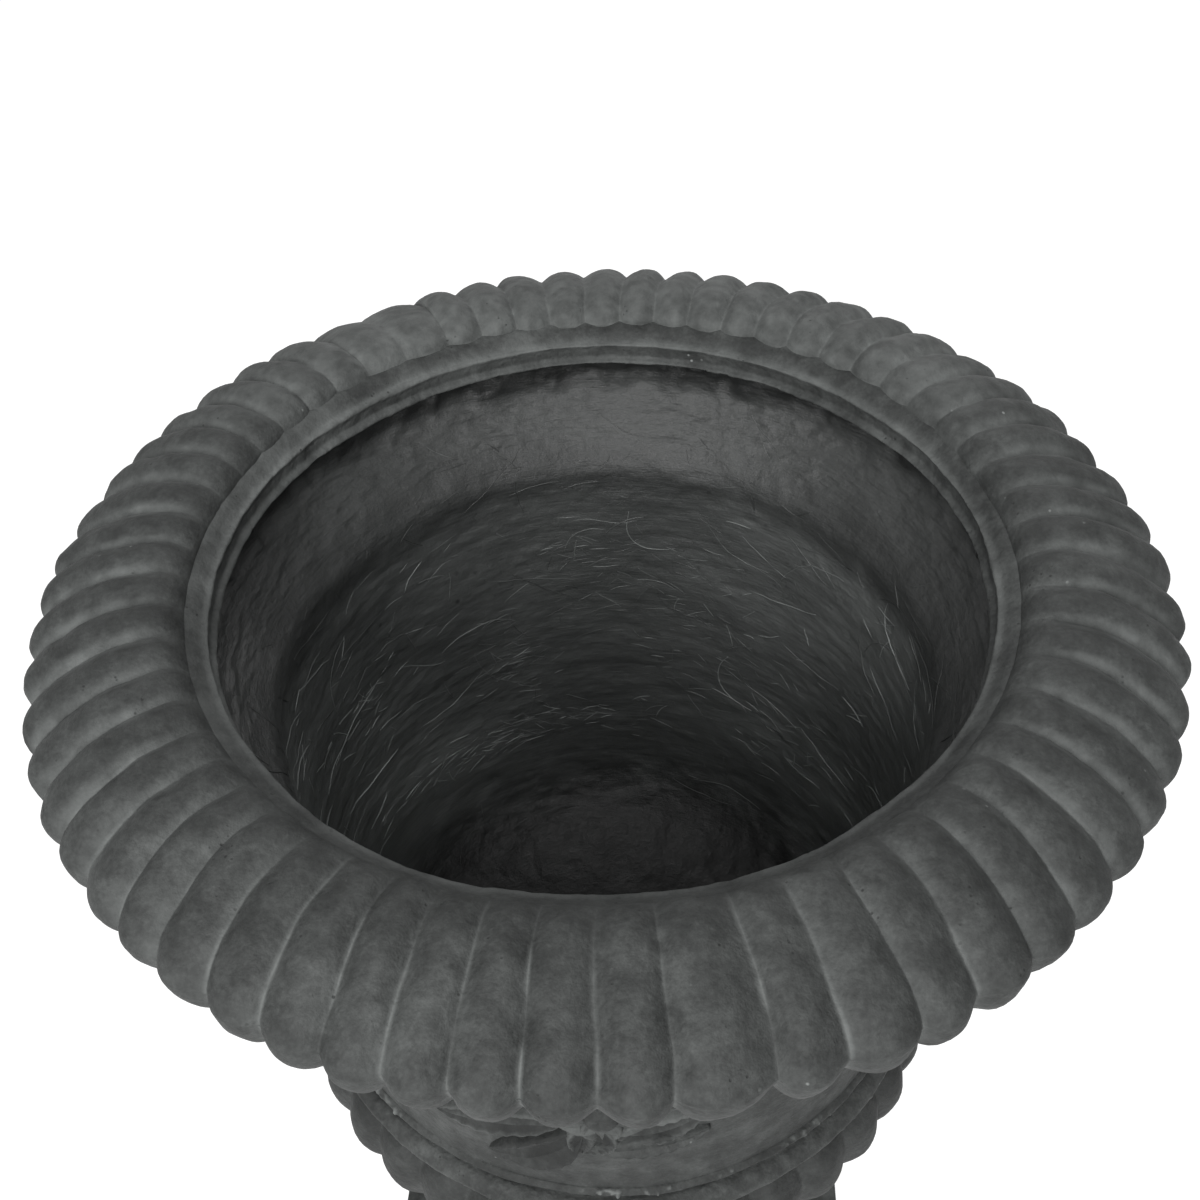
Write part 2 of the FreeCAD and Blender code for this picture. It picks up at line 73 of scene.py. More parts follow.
# Moulded form, as the pieces are built
ADHESIVE = 0.0002
MOUTH_R = 0.18125
LIP_H = 0.011
LIP_BAND_W = 0.0105
LIP_BAND_RISE = 0.0079
RIM_CREST_PULL = 0.0286
CREST_SWELL = 0.0080        # the cast lobes stand a little prouder than the built ring
RIM_CREST_ACROSS = 0.135
RIM_SHOULDER_PULL = 0.0069
RIM_OUT_DROP = 0.0086
RIM_CURL_DROP = 0.0077
RIM_CURL_IN = 0.025
RIM_CURL_LAND = 0.005
RIM_CURL_SIDE = 0.42
RIM_CURL_BASE = 0.12
RIM_CURL_ACROSS = 0.45
WALL_T = 0.008
LINING_T = 0.003
CUP_FOOT_R = 0.060
CUP_R = 0.194
CUP_BULGE_UP = 0.082
CUP_LEDGE_W = 0.008
ROUND = 0.5523              # a quarter curve drawn with one cubic

lip_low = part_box("mouth_lip")[0]
rim_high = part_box("rim")[1]
cove_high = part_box("cove_ring")[1]
frieze_low, frieze_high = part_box("frieze_wall")
cup_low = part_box("gadroon_cup")[0]
lining_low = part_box("bowl_lining")[0]

mouth_z = lip_low.z + LIP_H
band_z = mouth_z + LIP_BAND_RISE
rim_in_r = MOUTH_R + LIP_BAND_W
rim_out_r = rim_high.x
seat_z = cove_high.z
seat_r = cove_high.x
cove_z = frieze_high.z
frieze_z = frieze_low.z
frieze_r = frieze_high.x
cove_r = seat_r - frieze_r
inside_r = frieze_r - WALL_T


# --- outlines

def straight(start, end, count):
    """Points from start towards end, without end."""
    share = np.linspace(0.0, 1.0, count, endpoint=False)[:, None]
    return np.array(start) * (1 - share) + np.array(end) * share


def trail(*stops):
    """Straight runs through (radius, height, points as far as the next stop)."""
    runs = [straight(here[:2], after[:2], here[2]) for here, after in zip(stops, stops[1:])]
    return np.concatenate(runs)


def cubic(start, pull, push, end, count):
    """Points on a cubic curve, without its end."""
    t = np.linspace(0.0, 1.0, count, endpoint=False)[:, None]
    a, b, c, d = (np.array(point, float) for point in (start, pull, push, end))
    return a * (1 - t) ** 3 + 3 * b * t * (1 - t) ** 2 + 3 * c * t * t * (1 - t) + d * t ** 3


def swing(centre, radius, start, end, count):
    """Points on a circle from one angle in degrees to another, without the last."""
    turn = np.radians(np.linspace(start, end, count, endpoint=False))
    return np.array(centre) + radius * np.stack([np.cos(turn), np.sin(turn)], axis=1)


def rounded(corners, step):
    """Closed outline with (radius, height, rounding) corners, about one point every step."""
    points = []
    count = len(corners)
    for index in range(count):
        before = np.array(corners[index - 1][:2])
        here = np.array(corners[index][:2])
        after = np.array(corners[(index + 1) % count][:2])
        to_before = (before - here) / np.linalg.norm(before - here)
        to_after = (after - here) / np.linalg.norm(after - here)
        cut = corners[index][2]
        start = here + to_before * cut
        end = here + to_after * cut
        steps = max(2, int(2 * cut / step))
        points.append(cubic(start, start - to_before * cut * ROUND,
                            end - to_after * cut * ROUND, end, steps))
        reach = np.linalg.norm(after - here) - cut - corners[(index + 1) % count][2]
        points.append(straight(end, end + to_after * reach, max(1, int(reach / step))))
    return np.concatenate(points)


# --- unevenness

def lattice(ix, iy, iz, seed):
    """Repeatable number from -1 to 1 at each whole-numbered point."""
    value = ix * 374761393 + iy * 668265263 + iz * 1103515245 + seed * 974634777
    value = (value ^ (value >> 13)) * 1274126177
    value = value ^ (value >> 16)
    return (value & 0xFFFFFF) / float(0x7FFFFF) - 1.0


def rough(points, size, seed):
    """Smooth random unevenness from -1 to 1, with lumps about as wide as size."""
    scaled = np.asarray(points, float) / size
    cell = np.floor(scaled).astype(np.int64)
    part = scaled - cell
    part = part * part * (3 - 2 * part)
    total = np.zeros(scaled.shape[:-1])
    for corner in range(8):
        step = np.array([corner & 1, corner >> 1 & 1, corner >> 2 & 1])
        weight = np.prod(np.where(step == 1, part, 1 - part), axis=-1)
        total += weight * lattice(*np.moveaxis(cell + step, -1, 0), seed)
    return total


def layered(points, size, seed, layers=3):
    """Unevenness with finer lumps on the coarse ones."""
    total = 0.0
    for layer in range(layers):
        total = total + rough(points, size / 2 ** layer, seed + layer) / 2 ** layer
    return total


def creased(points, size, seed, sharpness=5.0):
    """Thin raised creases, 0 to 1, that wander about size apart."""
    return (1 - np.abs(layered(points, size, seed, 2)) / 1.5) ** sharpness


# --- meshes

def make_mesh(name, points, faces, dust_and_painted_shading=None):
    """Object with these points and faces, its faces turned outwards."""
    mesh = bpy.data.meshes.new(name)
    mesh.from_pydata(np.asarray(points, float).reshape(-1, 3).tolist(), [], faces)
    mesh.validate()
    work = bmesh.new()
    work.from_mesh(mesh)
    if work.calc_volume(signed=True) < 0:
        bmesh.ops.reverse_faces(work, faces=work.faces)
    work.to_mesh(mesh)
    work.free()
    mesh.polygons.foreach_set("use_smooth", [True] * len(mesh.polygons))
    if dust_and_painted_shading is not None:
        layer = mesh.attributes.new("dust_and_painted_shading", "FLOAT", "POINT")
        layer.data.foreach_set("value", np.asarray(dust_and_painted_shading, np.float32).ravel())
    piece = bpy.data.objects.new(name, mesh)
    bpy.context.scene.collection.objects.link(piece)
    return piece


def ring_faces(columns, rows):
    """Four-sided faces of a grid that closes both ways."""
    column = np.arange(columns)[:, None]
    row = np.arange(rows)[None, :]
    next_column = (column + 1) % columns
    next_row = (row + 1) % rows
    corners = [column * rows + row, next_column * rows + row,
               next_column * rows + next_row, column * rows + next_row]
    return np.stack([c.reshape(-1) for c in corners], axis=1).tolist()


def outline_normals(outline):
    """Outward directions of a closed outline."""
    along = np.roll(outline, -1, axis=0) - np.roll(outline, 1, axis=0)
    along /= np.linalg.norm(along, axis=1)[:, None] + 1e-12
    across = np.roll(outline, -1, axis=0)
    area = np.sum(outline[:, 0] * across[:, 1] - across[:, 0] * outline[:, 1])
    return np.stack([along[:, 1], -along[:, 0]], axis=1) * np.sign(area)


def round_the_axis(outline, angles):
    """Points of the outline at every angle, with their outward directions."""
    turn = np.radians(angles)[:, None]
    sine = np.sin(turn)
    cosine = -np.cos(turn)
    normals = outline_normals(outline)

    def spin(pairs):
        radius = pairs[None, :, 0]
        height = np.broadcast_to(pairs[None, :, 1], (len(angles), len(pairs)))
        return np.stack([radius * sine, radius * cosine, height], axis=2)

    return spin(outline), spin(normals)


class Pile:
    """Meshes collected into one: points, faces and tones."""

    def __init__(self):
        self.points = []
        self.faces = []
        self.tones = []
        self.count = 0

    def put(self, points, faces, tones):
        self.points.append(points)
        self.tones.append(tones)
        self.faces += [tuple(corner + self.count for corner in face) for face in faces]
        self.count += len(points)


def spun(points, turn):
    """The points turned round the axis, each by its own small angle in radians."""
    cosine = np.cos(turn)
    sine = np.sin(turn)
    x = points[..., 0] * cosine - points[..., 1] * sine
    y = points[..., 0] * sine + points[..., 1] * cosine
    return np.stack([x, y, points[..., 2]], axis=-1)


def even_angles(count):
    return np.arange(count) * 360.0 / count


def ring_mesh(name, points, dust_and_painted_shading=None):
    """Ring from a grid of points that closes both ways."""
    return make_mesh(name, points, ring_faces(*points.shape[:2]), dust_and_painted_shading=dust_and_painted_shading)


def shares_along(outline, shown):
    """How far along the shown part each point lies, 0 to 1; 2 for the hidden rest."""
    steps = np.linalg.norm(np.diff(outline[:shown + 1], axis=0), axis=1)
    along = np.zeros(len(outline))
    along[1:shown + 1] = np.cumsum(steps) / steps.sum()
    along[shown + 1:] = 2.0
    return along, (along <= 1.0)[None, :] * 1.0


def valley_at(side, power):
    """Depth of the valleys between lobes, 0 in a lobe's middle and 1 at its seams."""
    near = np.sqrt((1 - side) ** 2 + SEAM_SOFT ** 2)
    return np.clip(1 - near + SEAM_SOFT ** 2 / 2, 0, 1) ** power


def column_sines(angles):
    return np.sin(np.radians(angles))[:, None]


def lobe_angles(seams, columns):
    """Angles across every lobe, closer together at the seams, and where each is: -1 to 1."""
    place = -np.cos(math.pi * np.arange(columns) / columns)
    start = seams[:-1, None]
    end = seams[1:, None]
    angles = start + (end - start) * (place + 1) / 2
    return angles.reshape(-1), np.tile(place, len(seams) - 1)


def turned(name, outline, count, lump, seed, lump_size=0.03):
    """Ring of revolution with slightly uneven, hand-finished surfaces."""
    points, normals = round_the_axis(outline, even_angles(count))
    uneven = layered(points, lump_size, seed)
    return ring_mesh(name, points + normals * (lump * uneven)[:, :, None])


# --- materials

def new_material(name):
    material = bpy.data.materials.new(name)
    material.use_nodes = True
    tree = material.node_tree
    return material, tree, tree.nodes["Principled BSDF"]


def feed(tree, node, values):
    """Fill a node's sockets, each with another socket or a plain value; None leaves one alone."""
    for key, value in values.items():
        if hasattr(value, "is_linked"):
            tree.links.new(value, node.inputs[key])
        elif value is not None:
            node.inputs[key].default_value = value


def add(tree, kind, **settings):
    """Node of this kind; a setting whose name is a socket's fills that socket."""
    node = tree.nodes.new(kind)
    feed(tree, node, {key: value for key, value in settings.items() if key in node.inputs})
    for key in settings.keys() - set(node.inputs.keys()):
        setattr(node, key, settings[key])
    return node


def maths(tree, how, first, second):
    node = add(tree, "ShaderNodeMath", operation=how)
    feed(tree, node, {0: first, 1: second})
    return node.outputs[0]


def grey(value):
    """The casting's faintly green grey."""
    return (value * 0.950, value, value * 0.976)


class Finish:
    """Material in the making, its patterns in the piece's own space."""

    def __init__(self, name):
        self.material, self.tree, self.shader = new_material(name)
        self.place = add(self.tree, "ShaderNodeTexCoord").outputs["Object"]

    def noise(self, scale, detail=3.0, roughness=0.55, stretch=None):
        place = self.place
        if stretch is not None:
            mapping = add(self.tree, "ShaderNodeMapping", Vector=place, Scale=(1.0, 1.0, stretch))
            place = mapping.outputs["Vector"]
        node = add(self.tree, "ShaderNodeTexNoise", Vector=place, Scale=scale, Detail=detail,
                   Roughness=roughness)
        return node.outputs["Fac"]

    def ramp(self, factor, *stops):
        """Colour ramp with (place, grey or colour) stops."""
        node = add(self.tree, "ShaderNodeValToRGB", Fac=factor)
        elements = node.color_ramp.elements
        while len(elements) < len(stops):
            elements.new(0.5)
        for element, (place, colour) in zip(elements, stops):
            element.position = place
            element.color = (colour, colour, colour, 1) if isinstance(colour, float) else (*colour, 1)
        return node.outputs["Color"]

    def cells(self, scale, inner, outer):
        """White dots, one in each cell, that fade out between two distances."""
        node = add(self.tree, "ShaderNodeTexVoronoi", Vector=self.place, Scale=scale)
        return self.ramp(node.outputs["Distance"], (inner, 1.0), (outer, 0.0))

    def mix(self, factor, first, second, how="MIX"):
        """Mix of two colours; each may be a socket or a colour."""
        node = add(self.tree, "ShaderNodeMix", data_type="RGBA", blend_type=how)
        second = (*second, 1.0) if isinstance(second, tuple) else second
        feed(self.tree, node, {0: factor, 6: first, 7: second})
        return node.outputs[2]

    def times(self, first, second):
        return maths(self.tree, "MULTIPLY", first, second)

    def positive(self, value):
        return maths(self.tree, "MAXIMUM", value, 0.0)

    def dust_and_painted_shading(self):
        return add(self.tree, "ShaderNodeAttribute", attribute_name="dust_and_painted_shading").outputs["Fac"]

    def bump(self, height, strength, distance, under=None):
        node = add(self.tree, "ShaderNodeBump", Strength=strength, Distance=distance, Height=height,
                   Normal=under)
        return node.outputs["Normal"]

    def done(self, colour, roughness, normal, specular=0.5, metallic=0.0):
        sockets = {"Base Color": colour, "Roughness": roughness, "Normal": normal,
                   "Specular IOR Level": specular, "Metallic": metallic}
        feed(self.tree, self.shader, sockets)
        return self.material


CAST_DARK = 0.046
CAST_MID = 0.061
CAST_PALE = 0.078
# pale colour for dust and for painted light, both carried by the point attribute
CAST_DUST_AND_PAINTED_LIGHT = 0.185


def cast_material():
    """Matt charcoal casting: blotchy colour, sandy grain, dents, pinholes, pale dusty seams, and painted
    light and painted shade from the point attribute.
    """
    finish = Finish("cast shell")
    noise, ramp, mix, bump = finish.noise, finish.ramp, finish.mix, finish.bump
    tones = (0.32, grey(CAST_DARK)), (0.52, grey(CAST_MID)), (0.70, grey(CAST_PALE))
    colour = ramp(noise(24.0, 6.0, 0.65), *tones)
    blotch = ramp(noise(95.0, 5.0, 0.7), (0.36, 0.72), (0.50, 1.0), (0.66, 1.34))
    colour = mix(1.0, colour, blotch, "MULTIPLY")
    fine = ramp(noise(420.0, 3.0, 0.7), (0.35, 0.86), (0.65, 1.16))
    colour = mix(1.0, colour, fine, "MULTIPLY")
    dust_and_painted_shading = finish.dust_and_painted_shading()
    patchy = ramp(noise(70.0, 4.0, 0.7), (0.32, 0.45), (0.62, 1.0))
    # positive attribute: pale dust and painted light; negative attribute: near-black, mostly painted shade,
    # partly random darker mottling
    colour = mix(finish.positive(finish.times(dust_and_painted_shading, patchy)), colour, grey(CAST_DUST_AND_PAINTED_LIGHT))
    colour = mix(finish.positive(finish.times(dust_and_painted_shading, -1.0)), colour, grey(CAST_DARK * 0.45))
    rare = ramp(noise(33.0, 2.0), (0.64, 0.0), (0.68, 1.0))
    colour = mix(finish.times(finish.cells(120.0, 0.06, 0.12), rare), colour, grey(0.28))
    some = ramp(noise(60.0, 3.0), (0.58, 0.0), (0.66, 1.0))
    pits = finish.times(finish.cells(260.0, 0.08, 0.20), some)
    # near-black in the pinholes: painted shade in these small recesses
    colour = mix(finish.times(pits, 0.7), colour, grey(0.02))
    gloss = ramp(noise(40.0, 4.0), (0.3, 0.60), (0.7, 0.76))
    grain = bump(noise(520.0, 5.0, 0.65), 0.35, 0.0008)
    dents = bump(noise(150.0, 4.0, 0.6), 0.45, 0.0022, grain)
    lumps = bump(noise(60.0, 4.0, 0.6), 0.35, 0.0040, dents)
    holes = bump(finish.times(pits, -1.0), 0.5, 0.0008, lumps)
    return finish.done(colour, gloss, holes, 0.24)


def lining_material(name, dark, light, gloss_low, gloss_high, relief=1.0):
    """Satin resin over hand-laid fibre: brushed round the bowl, blotched and crackled."""
    finish = Finish(name)
    noise, ramp, mix, bump = finish.noise, finish.ramp, finish.mix, finish.bump
    strokes = noise(58.0, 6.0, 0.74, 11.0)
    hairs = noise(190.0, 4.0, 0.68, 8.0)
    base = ramp(noise(11.0, 6.0, 0.62), (0.30, grey(dark)), (0.70, grey(light)))
    brushed = ramp(strokes, (0.30, grey(dark * 0.72)), (0.72, grey(light * 1.30)))
    colour = mix(0.6, base, brushed)
    rare = ramp(noise(26.0, 2.0), (0.60, 0.0), (0.66, 0.8))
    colour = mix(finish.times(finish.cells(75.0, 0.07, 0.16), rare), colour, grey(0.010))
    # multiplied by the point attribute, which on the lining holds painted light and shade as well as resin
    # tone
    colour = mix(1.0, colour, finish.dust_and_painted_shading(), "MULTIPLY")
    gloss = ramp(strokes, (0.3, gloss_low), (0.7, gloss_high))
    brush = bump(strokes, 0.26 * relief, 0.0018)
    combed = bump(hairs, 0.34 * relief, 0.0009, brush)
    crackle = bump(noise(90.0, 6.0, 0.68), 0.40 * relief, 0.0026, combed)
    fine = bump(noise(420.0, 4.0, 0.6), 0.30 * relief, 0.0007, crackle)
    return finish.done(colour, gloss, fine)


def plain_material(name, colour, roughness, metallic=0.0, grain=300.0, relief=0.0004):
    """Moulded or plated stock with a fine grain and slightly uneven gloss."""
    finish = Finish(name)
    cloud = finish.noise(60.0, 5.0)
    darker = tuple(channel * 0.8 for channel in colour)
    lighter = tuple(min(1.0, channel * 1.2) for channel in colour)
    mottled = finish.ramp(cloud, (0.3, darker), (0.7, lighter))
    gloss = finish.ramp(cloud, (0.3, roughness * 0.85), (0.7, min(1.0, roughness * 1.15)))
    normal = finish.bump(finish.noise(grain, 4.0), 0.3, relief)
    return finish.done(mottled, gloss, normal, metallic=metallic)


# --- the cast pieces

def rim_seams():
    """Angles of the seams between the rim's lobes."""
    index = np.arange(LOBES)
    turn = np.radians(index * 360.0 / LOBES)
    width = 1 + LOBE_DRIFT * np.cos(turn - math.radians(LOBE_DRIFT_PEAK))
    width += LOBE_SWAY * np.cos(2 * (turn - math.radians(LOBE_SWAY_PEAK)))
    width += LOBE_CHANCE * np.random.default_rng(LOBE_SEED).uniform(-1, 1, LOBES)
    for lobe, extra in WIDE_LOBES.items():
        width[lobe] += extra
    return FIRST_SEAM + np.concatenate([[0.0], np.cumsum(width)]) / width.sum() * 360.0


RIM_DEPTH_AT = (0.0, 0.03, 0.08, 0.14, 0.20, 0.50, 0.80, 0.93, 1.0)
NOSED_DEPTH = (0.0030, 0.0036, 0.0048, 0.0050, 0.0050, 0.0060, 0.0076, 0.0088, 0.0086)
FADED_DEPTH = (0.0002, 0.0008, 0.0024, 0.0040, 0.0048, 0.0060, 0.0076, 0.0088, 0.0086)
NOSED_WITHIN = 62.0         # degrees from the back; further round, the grooves fade in
LOBE_POWER = 2.2
SEAM_SOFT = 0.06            # share of half a lobe over which a seam's bottom is rounded
LOBE_TIP_FROM = 0.90        # where the lobes start to round off under the curl
SEAM_DUST_W = 0.075         # share of half a lobe that the pale dust covers
SEAM_WANDER = 0.60          # degrees that a seam wanders to either side
SEAM_DRIFT = 2.2            # degrees that the seams' inner ends lie further back at the sides
SEAM_DRIFT_AT = (0.0, 0.3, 0.5, 0.75, 1.0)
SEAM_DRIFT_SHARE = (1.0, 1.0, 0.75, 0.45, 0.0)
GROOVE_DUST_AND_PAINTED_LIGHT = 0.80          # pale dust and painted light up the flanks beside the seams, most at the sides
EFFACED_LOBES = (33, 34)    # smeared over when the mould was filled


def near_back(angles, softness):
    """1 round the back of the urn, fading to 0 past NOSED_WITHIN."""
    from_back = np.abs((angles % 360.0) - 180.0)[:, None]
    return 1 / (1 + np.exp((from_back - NOSED_WITHIN) / softness))


def rim_outline():
    """The rim's section before the lobes are cut, and how many of its points show."""
    edge_r = rim_in_r + ADHESIVE
    out_z = mouth_z - RIM_OUT_DROP
    curl_z = seat_z - RIM_CURL_DROP
    curl_r = rim_out_r - RIM_CURL_IN
    land_r = curl_r - RIM_CURL_LAND + ADHESIVE
    span = rim_out_r - edge_r
    fall = out_z - curl_z
    pull = (edge_r + RIM_CREST_ACROSS * span, mouth_z + RIM_CREST_PULL + CREST_SWELL)
    crest = cubic((edge_r, band_z), pull, (rim_out_r, mouth_z + RIM_SHOULDER_PULL), (rim_out_r, out_z), 72)
    curl = cubic((rim_out_r, out_z), (rim_out_r, out_z - RIM_CURL_SIDE * fall),
                 (rim_out_r - RIM_CURL_ACROSS * RIM_CURL_IN, curl_z + RIM_CURL_BASE * fall),
                 (curl_r, curl_z), 26)
    flange_r = seat_r - 0.031
    hollow = trail((curl_r, curl_z, 3), (land_r, curl_z, 3), (land_r, seat_z, 4), (flange_r, seat_z, 2),
                   (flange_r, seat_z + 0.008, 4), (seat_r, seat_z + 0.008, 4), (rim_out_r - 0.016, out_z, 6),
                   (edge_r + 0.014, band_z - 0.006, 3), (edge_r, band_z - 0.0089, 3), (edge_r, band_z))
    return np.concatenate([crest, curl, hollow]), len(crest) + len(curl)


def rim_dust_and_painted_shading(points, angles, along, side, nosed):
    """Pale dusty seams, grooves paled at the sides by a dusty wash and painted light, back lobes paled by
    painted light with a dusty look, and painted shade under the lobes' tips and on the side lobes' crests.
    """
    from_back = np.abs((angles % 360.0) - 180.0)[:, None]
    line = np.exp(-((1 - side) / SEAM_DUST_W) ** 2)
    lengthways = np.interp(along, (0.0, 0.10, 0.3, 0.85, 0.96, 1.0), (0.1, 0.4, 1.0, 1.0, 0.5, 0.0))[None, :]
    broken = np.clip(0.45 + 1.5 * rough(points, 0.016, 71), 0, 1.2)
    stain = 0.30 * layered(points, 0.035, 73) - 0.10
    seam_share = 0.25 + 0.50 * np.clip(1.5 * (from_back - 110.0) / 70.0, 0, 1)
    # beside: 1 at the urn's sides, where the flanks get painted light and the crests painted shade
    beside = 0.15 + 0.85 * column_sines(angles) ** 2
    groove = np.clip((side - 0.50) / 0.30, 0, 1) ** 1.2 * beside
    groove = groove * (0.80 + 0.45 * rough(points, 0.012, 75) + 0.25 * rough(points, 0.004, 76))
    # gap: painted shade under the lobes' tips
    gap = np.interp(along, (0.0, 0.87, 0.94, 1.0), (0.0, 0.0, 0.5, 1.0))[None, :]
    dust_and_painted_shading = line * lengthways * broken * seam_share + (1 - line) * stain * 0.5
    dust_and_painted_shading += GROOVE_DUST_AND_PAINTED_LIGHT * groove * np.clip(along * 4, 0, 1)[None, :] - gap
    # nosed: painted light, with a dusty look, on the back lobes
    dust_and_painted_shading += nosed * (0.60 + 0.34 * rough(points, 0.004, 77))
    # painted shade on the crests of the side lobes
    return dust_and_painted_shading - 0.16 * beside * (1 - nosed) * np.clip(1 - side / 0.6, 0, 1)


def make_rim():
    """Overturned rim of rounded lobes, each a little different from the next."""
    outline, shown = rim_outline()
    along, fade = shares_along(outline, shown)
    angles, across = lobe_angles(rim_seams(), LOBE_COLUMNS)
    points, normals = round_the_axis(outline, angles)
    lobe = np.repeat(np.arange(LOBES), LOBE_COLUMNS)
    chance = np.random.default_rng(41)
    depth_share = chance.uniform(0.84, 1.14, LOBES)
    depth_share[list(EFFACED_LOBES)] = 0.55
    seam_share = (depth_share + np.roll(depth_share, 1)) / 2
    shares = np.concatenate([seam_share, seam_share[:1]])
    place = (across + 1) / 2
    deep = (shares[lobe] * (1 - place) + shares[lobe + 1] * place)[:, None]
    lean = chance.uniform(-0.14, 0.14, LOBES)[lobe][:, None]
    side = np.abs(across[:, None] + lean * (1 - across[:, None] ** 2))
    tip = np.clip((along - LOBE_TIP_FROM) / (1.02 - LOBE_TIP_FROM), 0, 1)[None, :]
    nose = np.clip(1 - along / 0.045, 0, 1)[None, :]
    nosed = near_back(angles, 7.0)
    nosed_depth = np.interp(along, RIM_DEPTH_AT, NOSED_DEPTH)[None, :]
    faded_depth = np.interp(along, RIM_DEPTH_AT, FADED_DEPTH)[None, :]
    depth = (nosed_depth * nosed + faded_depth * (1 - nosed)) * deep
    full = np.clip(valley_at(side, LOBE_POWER) + 0.95 * tip ** 2.6 + 0.35 * nosed * nose ** 2, 0, 1.12)
    uneven = 0.0009 * layered(points, 0.030, 11) + 0.00045 * layered(points, 0.010, 15)
    lift = (-depth * full + uneven * np.minimum(1, along * 12)[None, :]) * fade
    low_lobe = np.isin(lobe, EFFACED_LOBES)[:, None] * 1.0
    lift -= 0.0016 * low_lobe * np.sin(np.pi * np.clip(along, 0, 1))[None, :]
    points = points + normals * lift[:, :, None]
    wander = np.radians(SEAM_WANDER) * layered(points, 0.045, 17, 2) * np.clip(along * 5, 0, 1)[None, :]
    drift = math.radians(SEAM_DRIFT) * column_sines(angles)
    drift = drift * np.interp(along, SEAM_DRIFT_AT, SEAM_DRIFT_SHARE, right=0.0)[None, :]
    points = spun(points, (wander + drift) * fade)
    dust_and_painted_shading = rim_dust_and_painted_shading(points, angles, along, side, nosed) * fade
    return ring_mesh("rim_lobes", points, np.clip(dust_and_painted_shading, -1, 1))


def make_mouth_lip():
    """Hollowed collar with a rolled lower edge, and the soft band that the lobes rise from."""
    corners = [
        (MOUTH_R - 0.0002, mouth_z - LIP_H, 0.0008),
        (rim_in_r, mouth_z - LIP_H, 0.0015),
        (rim_in_r, band_z - 0.0149, 0.0005),
        (rim_in_r + 0.010, band_z - 0.0149, 0.0005),
        (rim_in_r + 0.010, band_z - 0.0020, 0.0010),
        (rim_in_r + 0.007, band_z + 0.0008, 0.0012),
        (rim_in_r - 0.001, band_z - 0.0008, 0.0030),
        (MOUTH_R + 0.0040, mouth_z + 0.0016, 0.0012),
        (MOUTH_R + 0.0010, mouth_z + 0.0009, 0.0012),
        (MOUTH_R + 0.0026, mouth_z - 0.0026, 0.0012),
        (MOUTH_R + 0.0024, mouth_z - 0.0078, 0.0012),
        (MOUTH_R - 0.0002, mouth_z - 0.0094, 0.0008),
    ]
    outline = rounded(corners, 0.0006)
    angles = even_angles(900)
    points, normals = round_the_axis(outline, angles)
    inner = np.clip((rim_in_r + 0.004 - outline[:, 0]) / 0.003, 0, 1)[None, :]
    uneven = 0.0009 * layered(points, 0.06, 21) + 0.00040 * layered(points, 0.014, 25)
    uneven += 0.00022 * layered(points, 0.005, 26)
    points = points + normals * (uneven * inner)[:, :, None]
    # edge: painted highlight on the collar's rolled edge; wall: painted shade on its inner face; slope:
    # painted shade where the lobes rise from the band
    edge = np.exp(-((outline[:, 0] - MOUTH_R - 0.0025) / 0.002) ** 2) * (outline[:, 1] > mouth_z)
    wall = np.exp(-((outline[:, 1] - mouth_z + 0.0052) / 0.0028) ** 2) * (outline[:, 0] < MOUTH_R + 0.004)
    slope = np.exp(-((outline[:, 0] - rim_in_r + 0.0015) / 0.004) ** 2) * (outline[:, 1] > mouth_z)
    back = 0.35 + 0.65 * near_back(angles, 12.0)
    dust_and_painted_shading = (0.65 * edge - 0.5 * wall - 0.45 * slope)[None, :] * back + 0.30 * layered(points, 0.016, 27)
    # painted light: paler at the back and on the left side
    dust_and_painted_shading += 0.28 * back + 0.40 * np.clip(-column_sines(angles), 0, 1)
    return ring_mesh("mouth_collar", points, np.clip(dust_and_painted_shading, -1, 1))


SPRAY_SHADOW_AT = (-13.0, 0.350)    # painted shadow under the front spray: angle, height
SPRAY_SHADOW_W = (7.0, 0.013)
SPRAY_SHADOW_CLIMB = 0.0016        # metres up for every degree round


